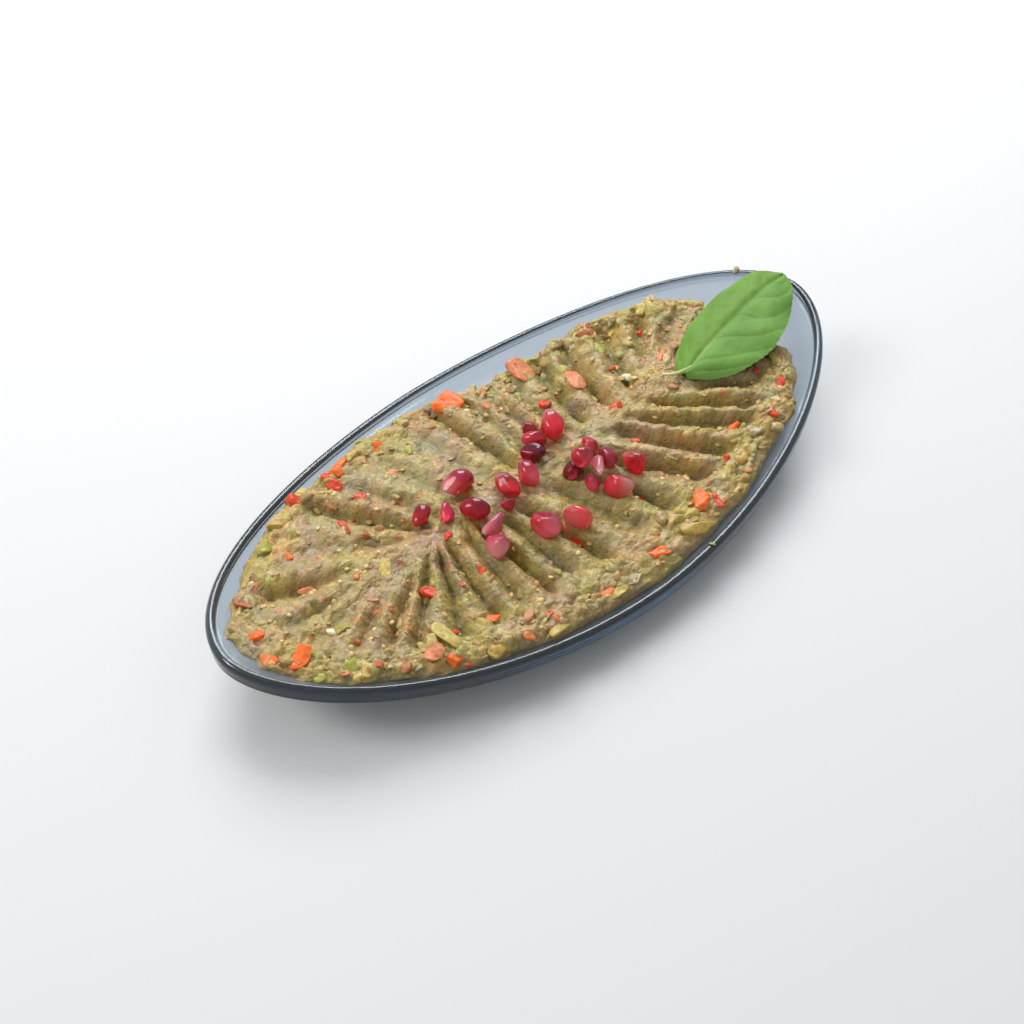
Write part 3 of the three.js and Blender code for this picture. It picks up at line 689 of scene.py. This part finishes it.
def round_grid(rows, columns):
    """Angles of a round form: from end to end (rows) and round the axis (columns)."""
    tilt = np.pi * (np.arange(1, rows + 1) / (rows + 1))[:, None]
    turn = np.linspace(0, 2 * np.pi, columns, endpoint=False)[None, :]
    return np.broadcast_arrays(tilt, turn)


def aril_rings(length, width, seed):
    """Rings along X from +X to -X: radius = sqrt(1 - along^2) * (1 + 0.22 along), then
    pressed flat by ten planes. Gives the points, along and turn."""
    tilt, turn = round_grid(26, 34)
    along = np.cos(tilt)
    girth = np.sqrt(1 - along**2) * (1 + 0.22 * along)
    unit = level(along, girth * np.cos(turn), girth * np.sin(turn)) * 1.05
    unit = pressed(unit.reshape(1, -1, 3), np.random.default_rng(seed), 10, 0.72, 0.1).reshape(unit.shape)
    return unit * np.array([length, width, width]) / 2, along, turn


def turned(points, yaw, tilt):
    """Points turned by a tilt that lifts +X and then by a yaw about Z, in degrees."""
    t, w = np.radians(tilt), np.radians(yaw)
    x, y, z = np.moveaxis(points, -1, 0)
    x, z = x * np.cos(t) - z * np.sin(t), x * np.sin(t) + z * np.cos(t)
    return level(x * np.cos(w) - y * np.sin(w), x * np.sin(w) + y * np.cos(w), z)


SHADED_SIDE = np.array([0.66, 0.3, 0.69])  # the side with a painted shade and sheen; the other side gets a painted glow
for i, (name, centre) in enumerate(zip(aril_nodes, aril_centres)):
    length, width, yaw, pitch, body, tip, dark = ARILS[i]
    rings, along, turn_at = aril_rings(length, width, i + 1)
    ends = rings[[0, -1]].mean(1)
    points = turned(closed_stack(ends[0], rings, ends[1]), yaw, pitch) + centre
    streak = 0.5 + 0.5 * swell(turn_at * 3.2, along * 1.5, 1, i + 50)
    cloudy = 0.16 * swell(turn_at * 2.2, along * 2.6, 1, i + 90) * (1 - along**4)
    pale = np.clip(ease(-along, -0.25, 0.85) * (0.55 + 0.6 * streak) + cloudy, 0, 1)[..., None]
    tint = blend(srgb(*(1.06 * np.array(body) + 6)), srgb(*tip), pale)
    tint = closed_stack(tint[0, 0], tint, tint[-1, 0])
    shaded = ((points - centre) / width * 2) @ SHADED_SIDE
    # painted shade with a purple painted reflection on the shaded side
    aril_shade_and_sheen = (0.25 + 0.75 * dark) * ease(shaded, -0.1, 0.95)[:, None]
    tint = tint * (1 - aril_shade_and_sheen * np.array([0.66, 0.4, 0.2])) + aril_shade_and_sheen * np.array([0.01, 0.012, 0.035])
    # painted glow, redder, on the side opposite the painted shade
    tint = tint + ease(-shaded, -0.2, 0.9)[:, None] * np.array([0.14, 0.004, 0.002])
    faces = stack_faces(*rings.shape[:2])
    piece = make_piece("pomegranate_" + name, points, faces, ARIL, tint)
    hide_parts(name)

# %% [markdown]
# ## Pepper, onion and herbs
# A dice with softened sides is a superquadric: a sphere whose sines and cosines are
# raised to a power below one, which squares it. A knife leaves flat cuts at all angles,
# so each one is then pressed flat by its own random planes, as the arils are. Cooking
# softens the cuts again, and swells along the three axes do that.

# %% A dice


def dice_rings(rows, columns, squareness):
    """Rings of a unit superquadric from +Z to -Z with an upright axis."""
    waves = [wave(angle) for angle in round_grid(rows, columns) for wave in (np.sin, np.cos)]
    out, up, side, front = (np.sign(wave) * np.abs(wave) ** squareness for wave in waves)
    return level(out * front, out * side, up)


def scatter(rings, sizes, yaws, tilts, places, seed, nearest=0.6, planes=6, soft=0.08):
    """Many copies of one stack at once: each pressed flat by its own planes, scaled, tilted,
    turned and put in its place. Gives all the points and faces."""
    unit = closed_stack((0, 0, 1), rings, (0, 0, -1))
    shift = np.arange(len(places))[:, None, None] * len(unit)
    unit = pressed(unit + 0.0 * shift, np.random.default_rng(seed), planes, nearest, soft)
    body = unit * (sizes / 2)[:, None, :]
    points = turned(body, yaws[:, None], tilts[:, None]) + places[:, None, :]
    quads, fans = stack_faces(*rings.shape[:2])
    faces = [(quads[None] + shift).reshape(-1, 4), (fans[None] + shift).reshape(-1, 3)]
    return points.reshape(-1, 3), faces


def lumpy(points, cell, size, seed):
    """Points moved by up to size along each axis, by swells of the given cell."""
    x, y, z = points.T
    moves = [swell(x + 1.7 * z, y - 1.3 * z, cell, seed + i) for i in range(3)]
    return points + size * np.stack(moves, -1)


def per_point(values, points):
    """The value of each piece for all of its points."""
    return np.repeat(values, len(points) // len(values), 0)


def top_of_food(x, y):
    """Height of the mash's top at places on the plan: that of its nearest point."""
    flat = np.stack([food_x.ravel(), food_y.ravel()], -1)
    near = [np.argmin(((flat - spot) ** 2).sum(1)) for spot in np.stack([x, y], -1)]
    return food_z.ravel()[near]


print("food height in the middle:", top_of_food(np.array([0.0]), np.array([0.0])).round(1))

# %% [markdown]
# The large pieces come from a table: place, length, width, turn and colour. Red and
# orange pepper, pink flesh, straw-yellow, golden and white onion, lime-green stalk and
# rust-brown skin each have one tint.

# %% The chopped vegetables
RED, ORANGE, PINK = srgb(208, 56, 26), srgb(236, 102, 30), srgb(206, 120, 80)
STRAW, WHITE, LIME, RUST = srgb(192, 168, 92), srgb(214, 206, 170), srgb(156, 154, 60), srgb(164, 88, 46)
GOLDEN = srgb(184, 150, 76)
BITS = [
    (-61.5, 45, 7, 4.4, 70, RED), (-58, 47, 5, 4, 20, STRAW), (-47, 42, 8, 4, 84, RED),
    (-43, 45.5, 5.6, 4.6, 20, ORANGE), (-40, 47, 5, 3, 50, ORANGE), (-25, 46, 4, 3.5, 0, ORANGE),
    (-10.5, 52, 6, 4, 0, LIME), (5, 45, 8, 6.6, 10, ORANGE), (33, 39, 8.4, 6.4, 80, PINK),
    (41.5, 22.5, 9.6, 4.6, 65, PINK), (27, 21, 4, 3, 30, RED), (-58.5, 23.5, 6, 3, 60, RED),
    (-46, 30, 4, 3, 20, RED), (-52, 27, 3, 2, 60, RED), (-80, 25.5, 4, 2.5, 60, ORANGE),
    (-110.5, 3.5, 6, 4.2, 60, ORANGE), (-106, -12, 7, 6, 30, ORANGE), (-70, -41, 5.4, 4, 10, ORANGE),
    (-73.5, -36, 6.6, 4.6, 20, PINK), (-67, -33, 9, 4.2, 100, STRAW), (-85, -34, 4, 3.4, 0, RUST),
    (-50, -35.5, 5.2, 3.4, 20, ORANGE), (-67, -30, 5, 3, 20, PINK), (-62.5, -32, 2.5, 2.2, 0, RED),
    (-6.5, -29, 6, 5, -30, RED), (33.5, -44.5, 8, 4.4, 48, ORANGE), (37, -48, 5, 2.5, 90, RED),
    (40.5, -46.5, 3.5, 3, 10, WHITE), (7, -50, 8, 3, -28, ORANGE), (-15, -51, 5, 4, 0, ORANGE),
    (63.5, -29.5, 5.2, 3, 10, ORANGE), (89.5, -26, 5, 3.5, 80, RED), (87, -18, 4, 3, 30, RED),
    (77.5, -35, 8, 2.5, 50, RED), (41.5, 2.5, 5, 2.5, 0, RED), (75.5, 25.5, 3, 3, 0, RED),
    (70.5, 9.5, 6, 2.5, 20, PINK), (54, 18, 4, 1.5, 0, RED), (60.5, 36.5, 5, 4, 0, RUST),
    (59, 28, 6.6, 5.4, 40, LIME), (56.5, 11, 5, 4, 90, WHITE), (-61.5, -0.5, 6, 5, 30, STRAW),
    (-57, -17, 7, 3, -60, RED), (-40, -20, 3, 2, 90, RED), (-39, -3, 3, 2.5, 0, RED),
    (-96, -23, 6.4, 5, 20, LIME), (-91, -9, 4, 2.5, 60, WHITE), (-36, -46, 3, 2, 0, RED),
    (-68, -44, 2, 2, 0, RED), (51.5, -38, 4, 2, 30, RED), (35, -12.5, 2.4, 2, 0, RED),
    (20.5, -29.5, 4, 3, 40, RED), (-56.5, 15.5, 4, 3, 60, RUST), (13, 34.5, 4, 2.5, 90, PINK),
    (-30, 33, 4, 3, 10, PINK), (-20, 36, 3.4, 2.2, 60, LIME), (24, 32, 3, 2, 20, LIME),
    (-84, 12, 4, 3, 0, PINK), (-94, -28, 4, 3, 40, STRAW), (-34.8, 47.9, 5, 3.6, 10, STRAW),
    (-34.3, 41.9, 4.6, 1.8, 110, STRAW), (-71.6, 39.7, 8, 4.6, 20, GOLDEN), (-83, 32.1, 6, 4, 30, LIME),
    (-104.2, 17.7, 6, 4, 70, RUST), (-113.4, -5.8, 5, 3.6, 70, ORANGE), (-104.7, -20.7, 5, 3.2, 10, LIME),
    (-96.1, -27.4, 8, 4.4, -40, STRAW), (-89.7, -27.5, 4, 3.4, 20, RED), (-73.2, -35, 8, 3.6, 60, STRAW),
    (8.5, 43.3, 4, 3, 30, STRAW), (25.8, -46.5, 5, 3.4, -20, STRAW), (24.9, -50.9, 9, 4, -24, GOLDEN),
    (37.8, -48.4, 4.4, 3, 20, RED), (57.3, -40.1, 6, 4, 10, GOLDEN), (69.6, 32.2, 6, 3.6, 20, STRAW),
    (52, 38.4, 7, 4, 30, STRAW), (44, 39, 4, 3, 60, GOLDEN), (82, 30.5, 4, 2.4, 20, STRAW),
    (61, 34.6, 5, 4, 20, GOLDEN), (-57, -46, 6, 4, 0, GOLDEN), (-36.9, -51.3, 7, 4, 10, STRAW),
    (-13, -52.7, 6, 3, -10, STRAW), (95, -20, 5, 3.4, 60, STRAW), (93.5, -11, 4, 3, 10, STRAW),
    (-7.9, 52.1, 5, 3, -9, STRAW),
]
CUT_AWAY = 1.35  # the planes take about a quarter off, so the uncut dice is larger
SUNK = 0.14  # how deep the middle of a piece lies, as a share of its thickness
x, y, length, width, yaws = np.array([bit[:5] for bit in BITS]).T
thick = np.clip(0.56 * width, 1.2, 3.0)
places = np.stack([x, y, top_of_food(x, y) - SUNK * thick], -1)
sizes = CUT_AWAY * np.stack([length, width, thick], -1)
random = np.random.default_rng(7)
tilts = random.uniform(-14, 14, len(BITS))
points, faces = scatter(
    dice_rings(23, 34, 0.6), sizes, yaws, tilts, places, 61, nearest=0.45, planes=9, soft=0.13
)
points = lumpy(lumpy(points, 3.2, 0.3, 92), 1.3, 0.22, 95)
tint = per_point(np.array([bit[5] for bit in BITS]), points)
blush = 0.5 + 0.5 * swell(points[:, 0] + points[:, 2], points[:, 1], 2.6, 62)[:, None]
tint = tint * (0.8 + 0.3 * blush) + (1 - blush) * np.array([0.03, 0.05, 0.01])
make_piece("chopped_vegetables", points, faces, PEPPER, tint)

# %% [markdown]
# Smaller flakes are all through the mash. They are strewn at random, with a fixed seed,
# evenly over the food, and half sunk.

# %% Flakes


def strewn(count, low=0.06, high=0.985):
    """Random points of the food, even over its area: the share is the root of a random
    number."""
    rows = ((ROWS - 1) * random.uniform(low**2, high**2, count) ** 0.5).astype(int)
    picked = random.integers(0, food_x.shape[1], count)
    return level(food_x, food_y, food_z)[rows, picked]


flake_kinds = np.array([RED, ORANGE, PINK, STRAW, LIME, RUST, srgb(96, 76, 44), srgb(200, 170, 110)])
kinds = random.choice(len(flake_kinds), 360, p=[0.06, 0.08, 0.14, 0.21, 0.18, 0.1, 0.05, 0.18])
length = 1.8 + 3.6 * random.uniform(0, 1, len(kinds)) ** 2
places = strewn(len(kinds))
places[:, 2] -= 0.05 * length
sizes = np.stack([length, length * random.uniform(0.4, 0.8, len(kinds)), length * 0.32], -1)
yaws, tilts = random.uniform(0, 180, len(kinds)), random.uniform(-25, 25, len(kinds))
points, faces = scatter(dice_rings(8, 12, 0.75), sizes, yaws, tilts, places, 63, nearest=0.45, soft=0.04)
tint = per_point(flake_kinds[kinds] * 0.55 + KHAKI * 0.42, points)
make_piece("small_flakes", points, faces, PEPPER, tint)

# %% [markdown]
# ## Chunks of flesh
# Some pieces of aubergine and onion were not mashed at all. Their edges overhang, which
# the heap's surface can't do, so they are bodies of their own. Most lie in the border
# that the spoon never combed.

# %% Unmashed chunks
FLESH = np.array([
    KHAKI, srgb(186, 166, 104), srgb(168, 162, 84), srgb(158, 154, 118), srgb(176, 140, 92),
    srgb(206, 192, 138),
])
places = np.concatenate([strewn(50), strewn(110, 0.8, 0.97)])
length = random.uniform(2.4, 5.2, len(places))
sizes = CUT_AWAY * np.stack([length, length * random.uniform(0.5, 0.8, len(places)), length * 0.55], -1)
places[:, 2] -= 0.2 * length
yaws, tilts = random.uniform(0, 180, len(places)), random.uniform(-20, 20, len(places))
points, faces = scatter(
    dice_rings(15, 22, 0.7), sizes, yaws, tilts, places, 65, nearest=0.38, planes=9, soft=0.15
)
points = lumpy(lumpy(points, 2.6, 0.4, 82), 1.1, 0.22, 85)
flesh = pick(random.uniform(0, 1, len(places)), FLESH, 1.2)
flesh = per_point(0.55 * KHAKI + 0.45 * flesh, points)
flesh = flesh * (1 + 0.15 * swell(points[:, 0] + points[:, 2], points[:, 1], 1.6, 66)[:, None])
make_piece("flesh_chunks", points, faces, PULP, flesh)

# %% [markdown]
# ## Aubergine seeds
# The seeds are flat golden discs about 2 mm across. Many lie in groups, because each
# piece of flesh brings its own.

# %% Seeds
CLUSTERS = [  # x, y and spread
    (-85, 4, 9), (-60, 10, 8), (-7, 16, 9), (-65, 5, 8), (83, -30, 9), (30, -35, 9), (60, 5, 10),
    (-90, -15, 9), (-20, -40, 12), (75, 20, 9), (20, 40, 10), (-40, 30, 12), (95, -5, 8), (45, -40, 10),
]
grouped = np.concatenate([
    random.normal((x, y), (spread, spread * 0.6), (8, 2)) for x, y, spread in CLUSTERS
])
angle = np.degrees(np.arctan2(grouped[:, 1] / HALF_WIDTH, grouped[:, 0] / HALF_LENGTH))
reach = np.hypot(grouped[:, 0] / HALF_LENGTH, grouped[:, 1] / HALF_WIDTH)
grouped = grouped[reach < edge_share(angle) - 0.06]
grouped = np.column_stack([grouped, top_of_food(grouped[:, 0], grouped[:, 1])])
places = np.concatenate([grouped, strewn(70)]) - np.array([0, 0, 0.15])
across_seed = random.uniform(1.6, 2.7, len(places))
sizes = np.stack([across_seed * 1.12, across_seed * 0.92, 0 * across_seed + 0.9], -1)
yaws, tilts = random.uniform(0, 360, len(places)), random.normal(0, 26, len(places))
points, faces = scatter(dice_rings(5, 10, 0.95), sizes, yaws, tilts, places, 64, nearest=0.8)
gold = blend(srgb(180, 148, 80), srgb(210, 184, 116), random.uniform(0, 1, (len(places), 1)))
make_piece("aubergine_seeds", points, faces, SEED, per_point(gold, points))

# %% [markdown]
# ## The mint leaf
# Between its veins a mint leaf swells up, which is why it looks quilted. The veins leave
# the midrib at a slant and bend towards the tip: on a vein "along minus a share of
# across" stays the same. The swell between two of them is a sine.

# %% Veins and swells
VEINS, SLANT = 5.4, 0.35
NICK = 0.89  # where the right edge is torn a little
PLAN_LENGTH, PLAN_WIDTH = 56, 17  # millimetres in the leaf's two parameters, for its noise


def vein_phase(along, across):
    """Counts the side veins: whole numbers lie on a vein."""
    away = np.abs(across)
    uneven = 0.06 * swell(along * PLAN_LENGTH, PLAN_WIDTH * across, 10, 74)
    return VEINS * (along - SLANT * away**1.1 + 0.07 * (across > 0) + uneven) + 0.55


def leaf_point(along, across):
    """A point of the blade's middle layer, its width toothed at the edge."""
    teeth = 1 + 0.01 * np.sin(2 * np.pi * 24 * along) * np.abs(across) ** 6
    nick = 0.1 * np.exp(-(((along - NICK) / 0.011) ** 2)) * (across < 0)
    side = across * leaf_width(along, across) * (teeth - nick)
    phase = vein_phase(along, across)
    swollen = np.abs(np.sin(np.pi * phase)) ** 0.6 * np.abs(across) ** 0.35 * (1 - 0.6 * np.abs(across) ** 4)
    crinkle = 0.14 * swell(along * PLAN_LENGTH, side, 2.2, 71)
    crinkle = crinkle + 0.3 * swell(along * PLAN_LENGTH, side, 6, 73)
    quilt = (0.5 * (swollen - 0.5) + crinkle) * ease(np.sin(np.pi * along), 0, 0.3)
    height = (leaf_rise(along, across) + quilt)[..., None]
    return LEAF_BASE + along[..., None] * leaf_axis + side[..., None] * leaf_side + height * UP


print("leaf length", np.linalg.norm(leaf_axis).round(1), "mm")

# %% [markdown]
# Both faces of the blade come from the same function, one a little above and one below,
# joined round the edge: rings again, this time across the leaf from base to tip.

# %% The blade
LEAF_THICKNESS = 0.45
along_rows = (1 - np.cos(np.pi * np.linspace(0.03, 0.97, 150))[:, None]) / 2
across_line = np.sin(np.linspace(-np.pi / 2, np.pi / 2, 71))[None, :]
upper = leaf_point(*np.broadcast_arrays(along_rows, across_line))
thin = LEAF_THICKNESS / 2 * UP * (1 - across_line[..., None] ** 8)
leaf_rings = np.concatenate([upper - thin, (upper + thin)[:, -2:0:-1]], 1)
at_across = np.concatenate([across_line, across_line[:, -2:0:-1]], 1) + 0 * along_rows
at_along = along_rows + 0 * at_across
phase = vein_phase(at_along, at_across)
off_vein = np.abs(phase - np.round(phase)) / (0.035 + 0.02 * np.abs(at_across))
vein = np.exp(-(off_vein**2)) * (1 - at_across**4)
midrib = np.exp(-((at_across / 0.04) ** 2))
cloud = 0.5 + 0.5 * swell(at_along * PLAN_LENGTH, at_across * PLAN_WIDTH, 6, 72)
green = np.where((at_across > 0)[..., None], srgb(100, 140, 48), srgb(102, 145, 60))
green = green * (0.86 + 0.26 * cloud)[..., None]
# painted shade: the veins and midrib lie in creases and are darker, the veins on the right half most
green = green * (1 - 0.2 * vein * (at_across < 0) - 0.08 * vein - 0.12 * midrib)[..., None]
pale = (0.6 * midrib * (1 - ease(at_along, 0.05, 0.5)))[..., None]
green = blend(green, srgb(170, 196, 112), pale)
edging = ease(np.abs(at_across), 0.94, 1)[..., None] * 0.25
green = blend(green, srgb(136, 166, 84), edging)
ends = leaf_point(np.array([0.0, 1.0]), np.zeros(2))
points = closed_stack(ends[0], leaf_rings, ends[1])
green = closed_stack(green[0, 0], green, green[-1, 0])
blade = make_piece("mint_blade", points, stack_faces(*leaf_rings.shape[:2]), MINT, green)
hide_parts("mint_leaf")

# %% [markdown]
# The stalk is a tube along a parabola through three corners. At each point a level side
# and an upright, square to its heading, carry the ring.

# %% The stalk
STALK_ROWS, STALK_COLUMNS = 24, 14
t = np.linspace(0, 1, STALK_ROWS)[:, None, None]
corners = np.array([[3.5, 0.4, 0.1], [-3, 1.6, -0.8], [-5.25, 5.4, -1.0]]) + LEAF_BASE
path = (1 - t) ** 2 * corners[0] + 2 * t * (1 - t) * corners[1] + t**2 * corners[2]
heading = np.gradient(path[:, 0], axis=0)
heading /= np.linalg.norm(heading, axis=1, keepdims=True)
level_side = np.cross(heading, UP)
level_side /= np.linalg.norm(level_side, axis=1, keepdims=True)
upright = np.cross(level_side, heading)
turn = np.linspace(0, 2 * np.pi, STALK_COLUMNS, endpoint=False)[None, :, None]
radius = 0.72 * (1 - 0.25 * t) * (1 + 0.5 * (t > 0.96))
stalk_rings = path + radius * (np.cos(turn) * level_side[:, None] + np.sin(turn) * upright[:, None])
points = closed_stack(path[0, 0], stalk_rings, path[-1, 0])
tint = blend(srgb(156, 180, 98), srgb(214, 210, 160), t + 0 * turn)
tint = closed_stack(tint[0, 0], tint, tint[-1, 0])
make_piece("mint_stalk", points, stack_faces(STALK_ROWS, STALK_COLUMNS), MINT, tint)

# %% [markdown]
# ## Crumbs on the rim
# Serving leaves traces: a pale crumb and a green fleck stuck to the glass rim.

# %% Rim crumbs
rim_angles = np.radians([20, -77.5])
x, y = outline(rim_angles, 0.0)
places = np.stack([x, y, rim_top(x) + 0.25], -1)
sizes = np.array([[3.2, 2.2, 2.0], [2.4, 1.2, 0.7]])
points, faces = scatter(dice_rings(7, 10, 0.7), sizes, np.array([30, -60]), np.array([8, 0]), places, 81)
tint = per_point(np.array([srgb(176, 164, 132), srgb(150, 170, 90)]), points)
make_piece("rim_crumbs", points, faces, PEPPER, tint)

# %% [markdown]
# ## Table, light and camera
# A lamp high on the left gives the ridges a bright and a dark side, a wide window behind
# the dish draws the bright line along the rim, and a pale sky fills the shadows.

# %% Table
floor_mesh = bpy.data.meshes.new("table_top")
floor_mesh.from_pydata([(-2, -2, 0), (2, -2, 0), (2, 2, 0), (-2, 2, 0)], [], [(0, 1, 2, 3)])
table_top = bpy.data.objects.new("table_top", floor_mesh)
bpy.context.scene.collection.objects.link(table_top)
TABLE, _, table_shader = blank_finish("pale_table")
connect(table_shader, {"Base Color": (0.66, 0.66, 0.66, 1), "Roughness": 0.7})
floor_mesh.materials.append(TABLE)
print("table laid")

# %% Light
from mathutils import Vector

scene = bpy.context.scene
scene.view_settings.view_transform = "Standard"
scene.world = scene.world or bpy.data.worlds.new("studio")
scene.world.use_nodes = True
sky = scene.world.node_tree.nodes["Background"]
sky.inputs["Color"].default_value = (0.93, 0.97, 1.0, 1)
sky.inputs["Strength"].default_value = 0.55


def lamp(name, place, size, power, colour=(1, 1, 1)):
    """A square area lamp in metres that looks at the dish."""
    light = bpy.data.lights.new(name, "AREA")
    light.size, light.energy, light.color = size, power, colour
    holder = bpy.data.objects.new(name, light)
    holder.location = place
    holder.rotation_euler = Vector(place).to_track_quat("Z", "Y").to_euler()
    scene.collection.objects.link(holder)
    return holder


lamp("key", (-0.7, 0.6, 0.95), 0.5, 6.8, (1, 0.98, 0.95))
lamp("window", (0.5, 0.56, 0.74), 0.6, 9.8, (0.96, 0.98, 1))

# %% [markdown]
# The camera looks down at 45 degrees from beside the near long side, 850 mm away, with
# a long lens that keeps the far end from shrinking.

# %% Camera
CAMERA_TURN, CAMERA_TILT, DISTANCE = np.radians(43.7), np.radians(45.0), 0.85
TARGET = np.array([0, 0, 0.016])
SENSOR, PICTURE, PER_MM = 36, 1024, 3.1  # sensor in mm, picture in pixels, pixels for a millimetre
level_view = np.cos(CAMERA_TILT)
view = np.array([
    np.sin(CAMERA_TURN) * level_view, np.cos(CAMERA_TURN) * level_view, -np.sin(CAMERA_TILT),
])
camera = bpy.data.objects.new("camera", bpy.data.cameras.new("camera"))
camera.location = TARGET - DISTANCE * view
camera.rotation_euler = Vector(view).to_track_quat("-Z", "Y").to_euler()
camera.data.sensor_width = SENSOR
camera.data.lens = SENSOR * PER_MM * DISTANCE / MM / PICTURE
camera.data.shift_x, camera.data.shift_y = -18.3 / PICTURE, -25 / PICTURE
camera.data.clip_start, camera.data.clip_end = 0.01, 10
scene.collection.objects.link(camera)
scene.camera = camera
print("lens", round(camera.data.lens, 1), "mm")
